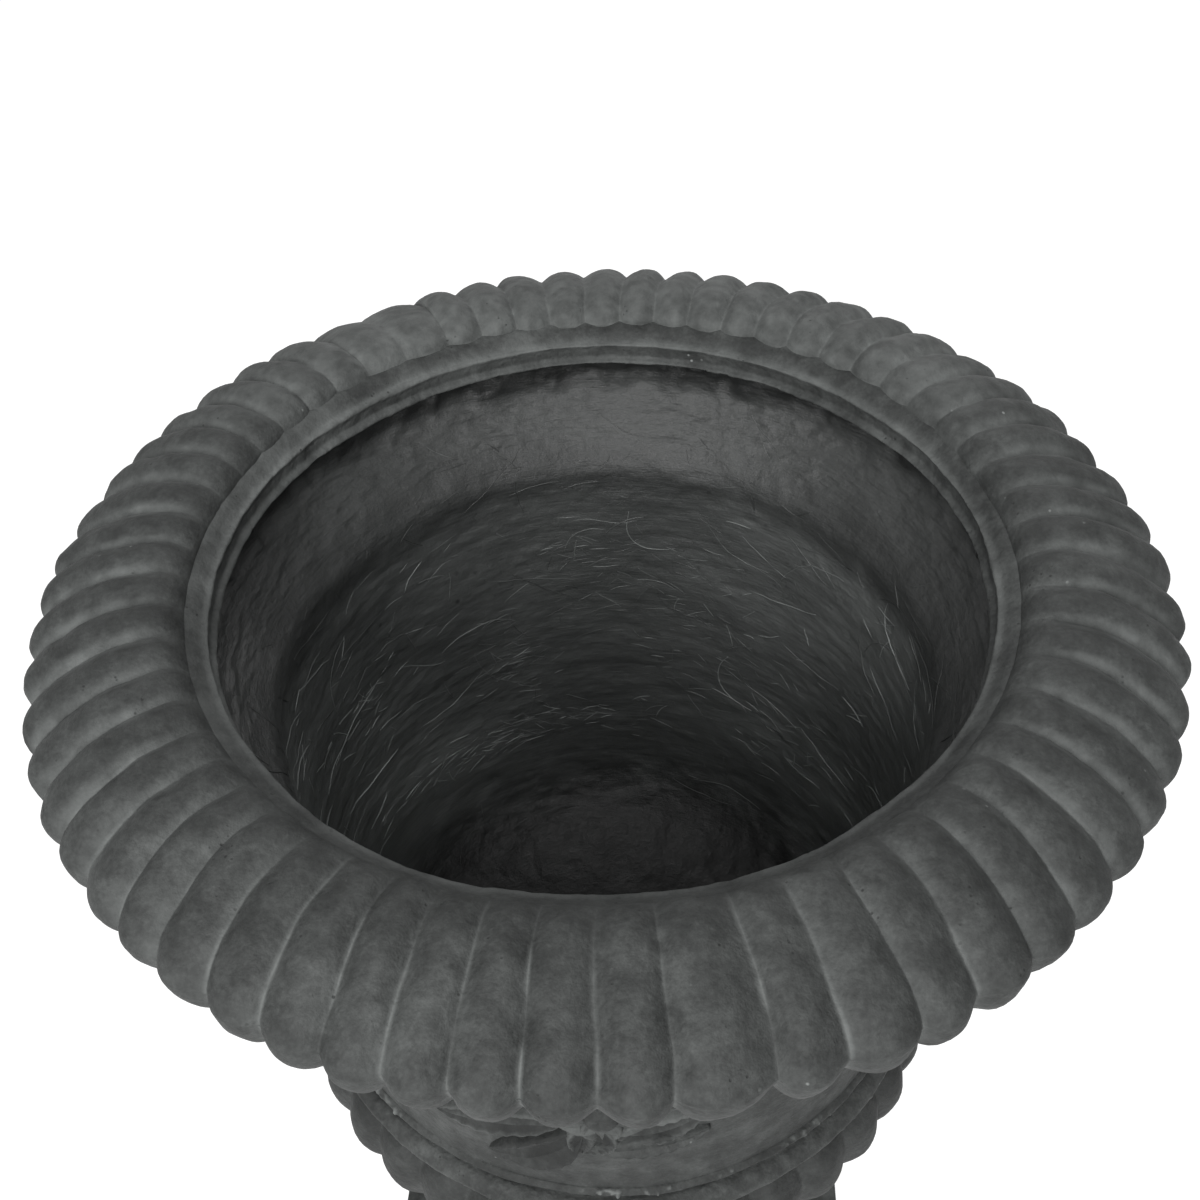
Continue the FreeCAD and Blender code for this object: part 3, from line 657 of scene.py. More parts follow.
def make_wall():
    """Straight frieze and the cove above it, in one skin."""
    centre = (seat_r, cove_z)
    inner_arc = cove_r + 0.0015
    outline = np.concatenate([
        trail((inside_r, frieze_z, 4), (frieze_r, frieze_z, 70), (frieze_r, cove_z)),
        swing(centre, cove_r, 180, 90, 40),
        trail((seat_r, cove_z + cove_r, 3), (seat_r, seat_z, 8), (seat_r - 0.0278, seat_z)),
        swing(centre, inner_arc, 90 + 24, 180, 16),
        trail((frieze_r - 0.0015, cove_z, 3), (inside_r, cove_z - 0.012, 12), (inside_r, frieze_z)),
    ])
    angles = even_angles(480)
    points, normals = round_the_axis(outline, angles)
    outer = (np.arange(len(outline)) >= 4) & (np.arange(len(outline)) < 112)
    uneven = 0.0006 * layered(points, 0.045, 31) + 0.00022 * layered(points, 0.012, 35)
    smear = 0.00035 * creased(points * np.array([1, 1, 4.5]), 0.035, 37, 7.0)
    points = points + normals * ((uneven + smear) * outer[None, :])[:, :, None]
    streaks = layered(points * np.array([1, 1, 4.0]), 0.05, 39)
    dust_and_painted_shading = (0.35 * streaks + 0.15 * rough(points, 0.012, 40)) * outer[None, :]
    around = (angles + 180.0) % 360.0 - 180.0
    # painted shadow under the front spray, a dark band with a ragged edge
    across = np.exp(-((around[:, None] - SPRAY_SHADOW_AT[0]) / SPRAY_SHADOW_W[0]) ** 4)
    middle = SPRAY_SHADOW_AT[1] + SPRAY_SHADOW_CLIMB * (around[:, None] - SPRAY_SHADOW_AT[0])
    upwards = np.exp(-((points[:, :, 2] - middle) / SPRAY_SHADOW_W[1]) ** 4)
    ragged = 0.75 + 0.5 * layered(points * np.array([1, 1, 5.0]), 0.04, 42)
    dust_and_painted_shading -= np.clip(across * upwards * ragged, 0, 1) * outer[None, :]
    return ring_mesh("frieze_and_cove", points, dust_and_painted_shading)


BAND_FACE = ((0.86, 0.0, 0.0012), (1.0, 0.28, 0.0020), (0.62, 0.86, 0.0022), (0.25, 1.0, 0.0010))
FILLET_FACE = ((0.9, 0.0, 0.0008), (1.0, 0.45, 0.0008), (0.35, 1.0, 0.0010))


def make_moulding(name, node, face, seed, granules, dusty):
    """Low moulding with a gritty face; face gives (share of its projection, share of its height)."""
    low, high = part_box(node)
    inner = frieze_r - 0.001
    reach = high.x - frieze_r
    rise = high.z - low.z
    corners = [(inner, low.z, 0.0001)]
    corners += [(frieze_r + reach * out, low.z + rise * up, cut) for out, up, cut in face]
    corners.append((inner, high.z, 0.0001))
    outline = rounded(corners, 0.0006)
    angles = even_angles(1200)
    points, normals = round_the_axis(outline, angles)
    outer = np.clip((outline[:, 0] - frieze_r) / 0.0015, 0, 1)[None, :]
    uneven = 0.0005 * layered(points, 0.03, seed) + 0.0003 * layered(points, 0.008, seed + 3)
    grit = granules * np.clip(layered(points, 0.0030, seed + 5, 2), 0, 1) ** 1.5
    grit *= np.clip(0.3 + 1.4 * rough(points, 0.025, seed + 7), 0, 1)
    points = points + normals * ((uneven + grit) * outer)[:, :, None]
    # the 0.30 taken off all round is painted shade from the rim above
    dust_and_painted_shading = outer * (0.5 * rough(points, 0.03, seed + 9) + dusty * np.clip(grit / granules, 0, 1) * 2.4 - 0.30)
    return ring_mesh(name, points, np.clip(dust_and_painted_shading, -1, 1))


def make_cup():
    """Cup of rounded lobes with egg-shaped tops under the moulding."""
    foot_z = cup_low.z
    wide_z = foot_z + CUP_BULGE_UP
    top_r = frieze_r + CUP_LEDGE_W
    rise = frieze_z - wide_z
    reach = CUP_R - CUP_FOOT_R
    lower = cubic((CUP_FOOT_R, foot_z), (CUP_FOOT_R + ROUND * reach, foot_z),
                  (CUP_R, wide_z - ROUND * CUP_BULGE_UP), (CUP_R, wide_z), 60)
    upper = cubic((CUP_R, wide_z), (CUP_R, wide_z + 0.5 * rise),
                  (top_r + 0.6 * (CUP_R - top_r), wide_z + 0.9 * rise), (top_r, frieze_z), 26)
    floor_z = foot_z + 0.014
    socket_z = foot_z + 0.006
    hollow_r = CUP_R - 0.013
    hollow = np.concatenate([
        trail((top_r, frieze_z, 4), (inside_r, frieze_z, 6), (hollow_r, floor_z + 0.058)),
        cubic((hollow_r, floor_z + 0.058), (hollow_r, floor_z + 0.026),
              (CUP_FOOT_R + ROUND * (hollow_r - CUP_FOOT_R), floor_z), (CUP_FOOT_R, floor_z), 14),
        trail((CUP_FOOT_R, floor_z, 2), (CUP_FOOT_R, socket_z, 2), (CUP_FOOT_R - 0.008, socket_z, 2),
              (CUP_FOOT_R - 0.008, foot_z, 2), (CUP_FOOT_R, foot_z)),
    ])
    outline = np.concatenate([lower, upper, hollow])
    along, fade = shares_along(outline, len(lower) + len(upper))
    chance = np.random.default_rng(53)
    width = 360.0 / CUP_LOBES
    seams = (np.arange(CUP_LOBES + 1) - 0.5) * width
    seams[:-1] += chance.uniform(-0.35, 0.35, CUP_LOBES)
    seams[-1] = seams[0] + 360.0
    angles, across = lobe_angles(seams, CUP_COLUMNS)
    points, normals = round_the_axis(outline, angles)
    egg = np.clip((along - 0.78) / (1.0 - 0.78), 0, 1)[None, :]
    side = np.abs(across[:, None])
    full = np.clip(valley_at(side, 2.0) + 0.75 * egg ** 2.4, 0, 1.2)
    depth = np.interp(along, (0.0, 0.15, 0.6, 0.85, 1.0), (0.0, 0.0028, 0.0058, 0.0070, 0.0056))[None, :]
    ends = np.interp(along, (0.0, 0.04, 0.97, 1.0, 2.0), (0.0, 1.0, 1.0, 0.0, 0.0))[None, :]
    uneven = 0.0006 * layered(points, 0.030, 57) + 0.00025 * layered(points, 0.009, 59)
    lift = (-depth * full + uneven * ends) * fade
    points = points + normals * lift[:, :, None]
    line = np.exp(-((1 - side) / SEAM_DUST_W) ** 2)
    dust_and_painted_shading = fade * (line * 0.35 * (0.6 + 0.5 * rough(points, 0.03, 61)) + 0.30 * layered(points, 0.03, 63))
    # painted shade: darker on the upper lobes under the rim and on the egg tops under the moulding
    dust_and_painted_shading -= fade * (0.30 * np.clip((along - 0.45) / 0.2, 0, 1) + 0.35 * egg ** 2)
    return ring_mesh("cup_lobes", points, np.clip(dust_and_painted_shading, -1, 1))


DRAIN_HOLE_R = 0.0145


def make_stem_bead():
    low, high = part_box("stem_bead")
    half = (high.z - low.z) / 2
    centre = (high.x - half, low.z + half)
    inside = trail((centre[0], high.z, 10), (DRAIN_HOLE_R, high.z, 4), (DRAIN_HOLE_R, low.z))
    outline = np.concatenate([straight((DRAIN_HOLE_R, low.z), (centre[0], low.z), 10),
                              swing(centre, half, -90, 90, 24), inside])
    return turned("neck_bead", outline, 240, 0.0004, 81)


def make_stem():
    """Waisted stem: a lip, a hollow curve up to the waist and a flared top."""
    low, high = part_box("stem")
    lip_z = low.z + 0.007
    waist_z = low.z + 0.066
    waist_r = 0.047
    top_r = 0.055
    wall = 0.010
    bore_r = high.x - wall
    shoulder = high.x - wall / 2
    reach = shoulder - waist_r
    rise = waist_z - lip_z
    middle = (waist_z + high.z) / 2
    outline = np.concatenate([
        trail((bore_r, low.z, 5), (high.x, low.z, 7), (high.x, lip_z, 4), (shoulder, lip_z)),
        cubic((shoulder, lip_z), (shoulder - ROUND * reach, lip_z),
              (waist_r, waist_z - ROUND * rise), (waist_r, waist_z), 50),
        cubic((waist_r, waist_z), (waist_r, middle), (top_r, middle), (top_r, high.z), 16),
        trail((top_r, high.z, 8), (DRAIN_HOLE_R, high.z, 3), (DRAIN_HOLE_R, high.z - 0.012, 5),
              (waist_r - wall, high.z - 0.012)),
        cubic((waist_r - wall, high.z - 0.012), (waist_r - wall, high.z - 0.05),
              (high.x - 0.045, lip_z - 0.0035), (bore_r, lip_z - 0.0035), 20),
        straight((bore_r, lip_z - 0.0035), (bore_r, low.z), 2),
    ])
    return turned("waisted_stem", outline, 300, 0.0005, 83)


def make_foot():
    low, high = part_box("foot_ring")
    edge_h = 0.004
    edge_z = low.z + edge_h
    half = (high.z - low.z - edge_h) / 2
    centre = (high.x - half, low.z + edge_h + half)
    bore_r = 0.098
    outside = trail((bore_r, low.z, 8), (high.x, low.z, 4), (high.x, edge_z, 5), (centre[0], edge_z))
    inside = trail((centre[0], high.z, 6), (bore_r, high.z, 5), (bore_r, low.z))
    outline = np.concatenate([outside, swing(centre, half, -90, 90, 30), inside])
    return turned("half_round_foot", outline, 360, 0.0005, 85)


def square_ring(outline, side, per_side, corner_r):
    """Points of an outline of (inset from the side, height) pairs round a square plan."""
    inset, height = outline.T
    reach = side / 2 - inset
    radius = np.maximum(corner_r - inset, 0.0008)
    along = (2.0 * np.arange(per_side)[:, None] / per_side - 1.0) * reach
    over = np.clip((np.abs(along) - (reach - radius)) / radius, 0, 1)
    out = reach - radius + radius * np.cos(over * math.pi / 4)
    bent = np.copysign(reach - radius + radius * np.sin(over * math.pi / 4), along)
    along = np.where(over > 0, bent, along)
    height = np.broadcast_to(height, along.shape)
    front = np.stack([along, -out, height], axis=2)
    return np.concatenate([spun(front, math.radians(90 * quarter)) for quarter in range(4)])


def make_plinth():
    """Square block with softened, slightly worn edges, hollow underneath."""
    low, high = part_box("plinth")
    side = high.x - low.x
    wall = 0.010
    top_t = 0.010
    edge = 0.0035
    hole_inset = side / 2 - DRAIN_HOLE_R
    outline = np.concatenate([
        straight((0.0, 0.0), (0.0, high.z - edge), 24),
        cubic((0.0, high.z - edge), (0.0, high.z - 0.4 * edge), (0.4 * edge, high.z), (edge, high.z), 6),
        trail((edge, high.z, 40), (hole_inset, high.z, 3), (hole_inset, high.z - top_t, 14),
              (wall, high.z - top_t, 8), (wall, 0.0, 4), (0.0, 0.0)),
    ])
    points = square_ring(outline, side, 90, 0.006)
    uneven = 0.0006 * layered(points, 0.04, 91) + 0.00025 * layered(points, 0.011, 95)
    inset = outline[:, 0][None, :]
    height = outline[:, 1][None, :]
    side_face = (inset < 0.0005) & (height > 0.003)
    top_face = (height > high.z - 0.001) & (inset >= edge * 0.5) & (inset < hole_inset - 0.01)
    distance = np.hypot(points[:, :, 0], points[:, :, 1])[:, :, None] + 1e-9
    outward = points * np.array([1, 1, 0]) / distance
    points = points + outward * (uneven * side_face)[:, :, None]
    points[:, :, 2] += np.minimum(uneven, 0) * top_face
    dust_and_painted_shading = np.clip(rough(points, 0.05, 97), 0, 1) * 0.5 * np.ones_like(uneven)
    return ring_mesh("square_plinth", points, dust_and_painted_shading)


# --- leaf sprays

SPRAY_UP = 0.111            # above the frieze's foot
SPRAY_SIZE = 0.100
LEAVES = (                  # root across, up; direction in degrees; length; width; bend
    (-0.08, -0.36, 6.0, 0.62, 0.16, 0.06),
    (0.02, -0.20, 14.0, 0.54, 0.22, -0.05),
    (-0.10, -0.20, -141.0, 0.64, 0.28, 0.08),
    (-0.18, -0.12, -157.0, 0.78, 0.24, -0.07),
    (0.08, 0.04, 24.0, 0.68, 0.26, 0.09),
    (-0.08, 0.04, 156.0, 0.68, 0.26, -0.09),
    (0.08, 0.10, 52.0, 0.56, 0.24, 0.10),
    (-0.08, 0.10, 128.0, 0.56, 0.24, -0.10),
    (0.0, 0.12, 90.0, 0.48, 0.24, 0.02),
    (-0.04, -0.10, -100.0, 0.34, 0.26, 0.05),
)
FLAT_TONES = {0: 0.0, 2: -0.75}     # leaves with no pale edge: one even tone instead of the painted highlights and shade
PETALS = 6
PETAL_L = 0.027
PETAL_W = 0.021
BUTTON_R = 0.009
BUTTON_SIDES = 28


def leaf_patch(root, direction, length, width, thick, bend, seed, vein=0.0009, flat_tone=None):
    """Closed crowned leaf as (across, up, out) points, faces and tones of painted highlight and shade; bend
    curves its midrib.
    """
    rows = 34
    columns = 19
    turn = math.radians(direction)
    along = np.array([math.cos(turn), math.sin(turn)])
    across = np.array([-math.sin(turn), math.cos(turn)])
    share = np.linspace(0.0, 1.0, rows)[:, None]
    side = np.sin(np.linspace(-0.5, 0.5, columns) * math.pi)[None, :]
    wave = 1 + 0.025 * np.sin(share * 2 * math.pi * 2.5 + seed) * np.abs(side)
    half = width / 2 * np.sin(np.pi * share ** 0.86) ** 0.92 * wave + 0.0003
    mid = bend * length * np.sin(np.pi * share)
    plan = (np.array(root) + along * (share * length)[..., None]
            + across * (mid + side * half)[..., None])
    lengthways = np.sin(np.pi * np.clip(share * 0.92 + 0.05, 0, 1)) ** 0.5
    rib = np.exp(-(side / 0.14) ** 2)
    margin = np.clip((1 - np.abs(side)) / 0.12, 0, 1) ** 0.5
    trough = 0.40 + 0.60 * np.clip(np.abs(side) / 0.82, 0, 1) ** 2 + 0.50 * rib
    veins = np.abs(np.sin((share * 9 - np.abs(side) * 1.6) * math.pi)) ** 3
    out = thick * margin * lengthways * trough + vein * veins * margin * (1 - rib) * lengthways
    out = np.where(np.abs(side) > 0.999, 0.0, out)
    # painted highlight on the raised margins and midrib, painted shade in the trough between
    painted_highlight_and_shade = 1.25 * np.clip((np.abs(side) - 0.66) / 0.2, 0, 1) + 0.8 * rib - 0.75
    tone = np.broadcast_to(painted_highlight_and_shade if flat_tone is None else flat_tone, (rows, columns)) * lengthways
    upper = np.concatenate([plan, out[..., None]], axis=2)
    lower = np.concatenate([plan[:, 1:-1], np.full((rows, columns - 2, 1), -0.0009)], axis=2)
    points = np.concatenate([upper.reshape(-1, 3), lower.reshape(-1, 3)])
    top = np.arange(rows * columns).reshape(rows, columns)
    base = top.copy()
    base[:, 1:-1] = rows * columns + np.arange(rows * (columns - 2)).reshape(rows, columns - 2)
    faces = []
    for side_up, order in ((top, 1), (base, -1)):
        corners = [side_up[:-1, :-1], side_up[:-1, 1:], side_up[1:, 1:], side_up[1:, :-1]]
        faces += np.stack(corners[::order], axis=2).reshape(-1, 4).tolist()
    for row, order in ((0, 1), (-1, -1)):
        ends = np.stack([top[row, :-1], base[row, :-1], base[row, 1:], top[row, 1:]][::order], axis=1)
        faces += [list(dict.fromkeys(corners)) for corners in ends.tolist()]
    return points, faces, np.concatenate([tone.ravel(), np.zeros(rows * (columns - 2))])


def tube_faces(rings, sides):
    """Faces of a closed tube of rings, with both ends shut."""
    faces = []
    for ring in range(0, (rings - 1) * sides, sides):
        for step in range(sides):
            following = (step + 1) % sides
            faces.append((ring + step, ring + following, ring + sides + following, ring + sides + step))
    last = (rings - 1) * sides
    return faces + [tuple(range(sides))[::-1], tuple(range(last, last + sides))]


def button_patch(radius, thick):
    """Closed domed button with a dimple, as (across, up, out) points, faces and tones."""
    profile = [(1.0, -0.0009), (1.0, 0.35 * thick), (0.93, 0.72 * thick), (0.75, 0.95 * thick), (0.5, thick),
               (0.3, 0.92 * thick), (0.12, 0.80 * thick)]
    turns = [2 * math.pi * step / BUTTON_SIDES for step in range(BUTTON_SIDES)]
    points = [(share * radius * math.cos(turn), share * radius * math.sin(turn), out)
              for share, out in profile for turn in turns]
    return np.array(points), tube_faces(len(profile), BUTTON_SIDES), np.zeros(len(points))


def on_frieze(flat, side_angle):
    """(across, up, out) points wrapped on the frieze, the spray's centre at side_angle."""
    turn = flat[:, 0] / frieze_r + math.radians(side_angle)
    radius = frieze_r + 0.0002 + flat[:, 2]
    height = frieze_z + SPRAY_UP + flat[:, 1]
    return np.stack([radius * np.sin(turn), -radius * np.cos(turn), height], axis=1)


def make_spray(side, side_angle):
    """Flower in a spray of veined leaves, joined into one moulding."""
    pile = Pile()

    def put(patch):
        flat, faces, tones = patch
        pile.put(on_frieze(flat, side_angle), faces, tones)

    for index, (across, up, direction, length, width, bend) in enumerate(LEAVES):
        root = (SPRAY_SIZE * across, SPRAY_SIZE * up)
        thick = 0.0062 if index % 2 else 0.0076
        put(leaf_patch(root, direction, SPRAY_SIZE * length, SPRAY_SIZE * width, thick, bend,
                       index * 1.7 + side_angle, flat_tone=FLAT_TONES.get(index)))
    for index in range(PETALS):
        direction = 90.0 + index * 360.0 / PETALS
        put(leaf_patch((0.0, 0.0), direction, PETAL_L, PETAL_W, 0.0066, 0.0, index, 0.0003, 0.35))
    put(button_patch(BUTTON_R, 0.0082))
    points = np.concatenate(pile.points)
    outward = points * np.array([1, 1, 0]) / frieze_r
    points = points + outward * (0.0004 * layered(points, 0.012, 101))[:, None]
    dust_and_painted_shading = np.concatenate(pile.tones) + 0.25 * layered(points, 0.015, 103)
    return make_mesh("leaf_spray_" + side, points, pile.faces, dust_and_painted_shading=np.clip(dust_and_painted_shading, -1, 1))


# --- the lining

LINING_COLUMNS = 720
LINING_FOOT_H = 0.062       # resin rounds off the corner between wall and floor
LINING_TONE_AND_PAINTED_SHADING = (            # height, how pale the lining is painted there: resin tone with painted light and shade
    (0.231, 0.16), (0.240, 0.45), (0.26, 2.0), (0.28, 3.1), (0.32, 3.9), (0.36, 3.1), (0.42, 2.4),
    (0.49, 1.85), (0.505, 1.75), (0.520, 1.05), (0.535, 1.12), (0.550, 1.42), (0.570, 1.20), (0.579, 0.50),
    (0.60, 0.38),
)
SIDE_PAINTED_SHADING = (              # height, how much paler or darker the sides are painted than the back: painted light and shade
    (0.236, 0.0), (0.25, 1.30), (0.49, 1.30), (0.507, 1.15), (0.523, 0.20), (0.537, -0.20),
)
FLARE_FOOT = 0.0250         # above the cove's foot, where the lining turns outwards
FLARE_TILT = 38.0           # degrees off upright
STRANDS = 520
STRAND_SIDES = 5
CLUMPS = (                  # angle, height, spread round the bowl, spread upwards, strands
    (-154.0, 0.312, 0.050, 0.014, 170),
    (-158.0, 0.385, 0.014, 0.016, 70),
    (-120.0, 0.430, 0.020, 0.020, 45),
    (160.0, 0.395, 0.030, 0.020, 60),
    (172.0, 0.455, 0.035, 0.012, 50),
    (140.0, 0.330, 0.030, 0.020, 50),
    (-171.0, 0.470, 0.030, 0.015, 45),
)


def lining_outline():
    """Inner line of the lining from the drain up to its tuck under the collar."""
    floor = lining_low.z + LINING_T
    wall = inside_r - ADHESIVE - LINING_T
    wide = wall + 0.0015
    wide_z = floor + LINING_FOOT_H
    neck_z = frieze_z + 0.012
    middle = (wide_z + neck_z) / 2
    reach = wide - CUP_FOOT_R
    foot = cove_z + FLARE_FOOT
    slope = math.tan(math.radians(FLARE_TILT))
    flare_top = (wall + slope * (seat_z - 0.004 - foot), seat_z - 0.004)
    bend = 0.013
    ceiling = lip_low.z + 0.0012
    return np.concatenate([
        straight((DRAIN_HOLE_R, floor), (CUP_FOOT_R, floor), 16),
        cubic((CUP_FOOT_R, floor), (CUP_FOOT_R + ROUND * reach, floor),
              (wide, wide_z - ROUND * (wide_z - floor)), (wide, wide_z), 56),
        cubic((wide, wide_z), (wide, middle), (wall, middle), (wall, neck_z), 14),
        straight((wall, neck_z), (wall, foot - bend), 100),
        cubic((wall, foot - bend), (wall, foot), (wall, foot), (wall + slope * bend, foot + bend), 10),
        straight((wall + slope * bend, foot + bend), flare_top, 40),
        cubic(flare_top, (flare_top[0] + 0.007, flare_top[1] + 0.011),
              (flare_top[0] + 0.001, ceiling + 0.001), (MOUTH_R + 0.010, ceiling), 22),
        straight((MOUTH_R + 0.010, ceiling), (MOUTH_R + 0.0030, ceiling - 0.0004), 8),
    ])


def resin_tone_and_painted_shading(points, height):
    """How pale the lining is painted at these points, by height and by side: resin tone together with painted
    light and shade.
    """
    sideways = points[..., 0] ** 2 / (points[..., 0] ** 2 + points[..., 1] ** 2)
    side_tone = np.interp(height, *zip(*SIDE_PAINTED_SHADING))
    return np.interp(height, *zip(*LINING_TONE_AND_PAINTED_SHADING)) * (1 + sideways * side_tone)


def strand_paths(surface, heights):
    """Every fibre, walked along the lining: its path, its radius and its painted shine, a paler colour that
    stands for a highlight.
    """
    chance = np.random.default_rng(77)
    columns, rows = surface.shape[:2]
    flare_row = int(np.searchsorted(heights[150:], cove_z)) + 150
    floor_row = int(np.argmax(heights > 0.235))
    starts = []
    for _ in range(STRANDS):
        row = floor_row + (flare_row + 22 - floor_row) * chance.random() ** 0.62
        long_one = chance.random() < 0.30
        length = chance.uniform(0.024, 0.070) if long_one else chance.uniform(0.006, 0.024)
        column = chance.uniform(0, columns)
        heading = chance.normal(0.0, 0.42 if long_one else 0.75)
        starts.append((column, row, length, heading, 1.0 if long_one else 0.8))
    for angle, height, round_bowl, upwards, count in CLUMPS:
        middle = float(np.argmin(np.abs(heights[60:] - height)) + 60)
        per_row = max(heights[int(middle) + 1] - heights[int(middle)], 0.0008)
        per_column = 2 * math.pi * inside_r / columns
        for _ in range(count):
            column = (angle % 360.0) / 360.0 * columns + chance.normal(0, round_bowl) / per_column
            row = middle + chance.normal(0, upwards) / per_row
            starts.append((column, row, chance.uniform(0.005, 0.018), chance.normal(0.1, 0.5), 0.75))
    for column, row, length, heading, thickness in starts:
        steps = max(6, int(length / 0.0022))
        stride = length / steps
        turning = chance.normal(0.0, 0.20) * stride / 0.01
        path = []
        for _ in range(steps + 1):
            whole_row = min(max(int(row), 1), rows - 3)
            across = column - math.floor(column)
            upward = min(max(row - whole_row, 0.0), 1.0)
            here = surface[int(math.floor(column)) % columns, whole_row:whole_row + 2]
            beside = surface[(int(math.floor(column)) + 1) % columns, whole_row:whole_row + 2]
            low, high = here * (1 - across) + beside * across
            path.append(low * (1 - upward) + high * upward)
            around = 2 * math.pi * math.hypot(low[0], low[1]) / columns
            column += math.cos(heading) * stride / around
            row += math.sin(heading) * stride / max(float(np.linalg.norm(high - low)), 1e-4)
            heading += turning + chance.normal(0.0, 0.07)
        # painted highlight: each fibre's colour made paler by a random factor
        painted_shine = 0.70 + 1.9 * chance.random() ** 2.5
        yield np.array(path), thickness * chance.uniform(0.00020, 0.00048), painted_shine


def strand_mesh(surface, heights):
    """Thin fibres lying in the resin, as one mesh of many closed curved strands."""
    pile = Pile()
    turns = 2 * math.pi * np.arange(STRAND_SIDES)[None, :, None] / STRAND_SIDES
    for path, radius, painted_shine in strand_paths(surface, heights):
        path[1:-1] = (path[:-2] + 2 * path[1:-1] + path[2:]) / 4
        along = np.gradient(path, axis=0)
        size = np.linalg.norm(along, axis=1)
        if size.min() < 1e-6:
            continue
        along /= size[:, None]
        inward = -path * np.array([1, 1, 0])
        inward /= np.linalg.norm(inward, axis=1)[:, None]
        across = np.cross(along, inward)
        across /= np.linalg.norm(across, axis=1)[:, None]
        thin = radius * np.sin(np.pi * np.linspace(0.04, 0.96, len(path))) ** 0.6
        thin = thin[:, None, None]
        centre = (path + inward * 0.00008)[:, None]
        points = centre + across[:, None] * thin * np.cos(turns) + inward[:, None] * thin * np.sin(turns)
        tones = np.repeat(painted_shine * resin_tone_and_painted_shading(path, path[:, 2]), STRAND_SIDES)
        pile.put(points.reshape(-1, 3), tube_faces(len(path), STRAND_SIDES), tones)
    return make_mesh("lining_fibres", np.concatenate(pile.points), pile.faces, np.concatenate(pile.tones))


def make_lining():
    """Hand-laid lining: wavy, creased, and lapped up under the collar."""
    inner = lining_outline()
    tangent = np.gradient(inner, axis=0)
    tangent /= np.linalg.norm(tangent, axis=1)[:, None]
    outer = inner + np.stack([tangent[:, 1], -tangent[:, 0]], axis=1) * (LINING_T * 0.5)
    outline = np.concatenate([inner, outer[::-1][::6]])
    angles = even_angles(LINING_COLUMNS)
    points, normals = round_the_axis(outline, angles)
    shown = (np.arange(len(outline)) < len(inner))[None, :]
    height = outline[:, 1][None, :]
    flat = points * np.array([1, 1, 2.6])
    wavy = 0.0012 * layered(points, 0.07, 111) + 0.0006 * layered(flat, 0.024, 115)
    wavy += 0.0003 * layered(flat, 0.010, 117)
    strokes = 0.0005 * creased(flat, 0.026, 121, 6.0) + 0.0003 * creased(flat, 0.012, 125, 7.0)
    tuck = np.interp(height, (0.562, 0.578, 0.60), (0.0, 1.0, 1.0)) * (outline[:, 0] > 0.1)[None, :]
    folds = 0.0030 * creased(points * np.array([1.4, 1.4, 0.9]), 0.026, 131, 3.5) * tuck
    folds += 0.0014 * layered(points * np.array([1.2, 1.2, 1.0]), 0.020, 135) * tuck
    edge = np.interp(outline[:, 0], (0.030, 0.050), (0.0, 1.0))[None, :]
    lift = (wavy + strokes + folds - 0.0006) * shown * edge
    points = points + normals * lift[:, :, None]
    ragged = points[:, :, 2] + 0.006 * layered(points, 0.018, 139, 2)
    tone = resin_tone_and_painted_shading(points, ragged) * (1 + 0.16 * layered(flat, 0.05, 141, 2))
    lining = ring_mesh("laid_lining", points, tone)
    strands = strand_mesh(points[:, :len(inner)], inner[:, 1])
    return lining, strands


# --- stage and camera

FLOOR_SIZE = 14.0
AMBIENT = 0.15


def white_when_seen(tree, plain, white, output):
    """Plain surface for soft light, white one for the camera, reflections and clear things."""
    rays = add(tree, "ShaderNodeLightPath").outputs
    seen = maths(tree, "MAXIMUM", rays["Is Camera Ray"], rays["Is Glossy Ray"])
    seen = maths(tree, "MAXIMUM", seen, rays["Is Transmission Ray"])
    mixed = add(tree, "ShaderNodeMixShader")
    feed(tree, mixed, {0: seen, 1: plain.outputs[0], 2: white.outputs[0]})
    feed(tree, tree.nodes[output], {"Surface": mixed.outputs[0]})


def make_floor():
    """Pale floor that reads as plain white paper, and keeps the urn's shadow."""
    half = FLOOR_SIZE / 2
    corners = [(-half, -half, 0), (half, -half, 0), (half, half, 0), (-half, half, 0)]
    mesh = bpy.data.meshes.new("studio_floor")
    mesh.from_pydata(corners, [], [(0, 1, 2, 3)])
    floor = bpy.data.objects.new("studio_floor", mesh)
    bpy.context.scene.collection.objects.link(floor)
    material, tree, shader = new_material("studio paper")
    feed(tree, shader, {"Base Color": (0.40, 0.40, 0.40, 1), "Roughness": 0.9, "Specular IOR Level": 0.1})
    glow = add(tree, "ShaderNodeEmission", Strength=0.90)
    matt = add(tree, "ShaderNodeBsdfDiffuse", Color=(0.36, 0.36, 0.36, 1))
    white = add(tree, "ShaderNodeAddShader")
    feed(tree, white, {0: glow.outputs[0], 1: matt.outputs[0]})
    white_when_seen(tree, shader, white, "Material Output")
    mesh.materials.append(material)


def make_world():
    """White to the camera and to reflections, a plain soft level for the rest."""
    world = bpy.data.worlds.new("studio")
    world.use_nodes = True
    tree = world.node_tree
    background = tree.nodes["Background"]
    feed(tree, background, {"Color": (1, 1, 1, 1), "Strength": AMBIENT})
    white = add(tree, "ShaderNodeBackground", Strength=1.0)
    white_when_seen(tree, background, white, "World Output")
    bpy.context.scene.world = world


def make_light(name, at, aim, size, watts):
    lamp = bpy.data.lights.new(name, "AREA")
    lamp.shape = "DISK"
    lamp.size = size
    lamp.energy = watts
    piece = bpy.data.objects.new(name, lamp)
    piece.location = at
    piece.rotation_euler = (Vector(aim) - Vector(at)).to_track_quat("-Z", "Y").to_euler()
    bpy.context.scene.collection.objects.link(piece)


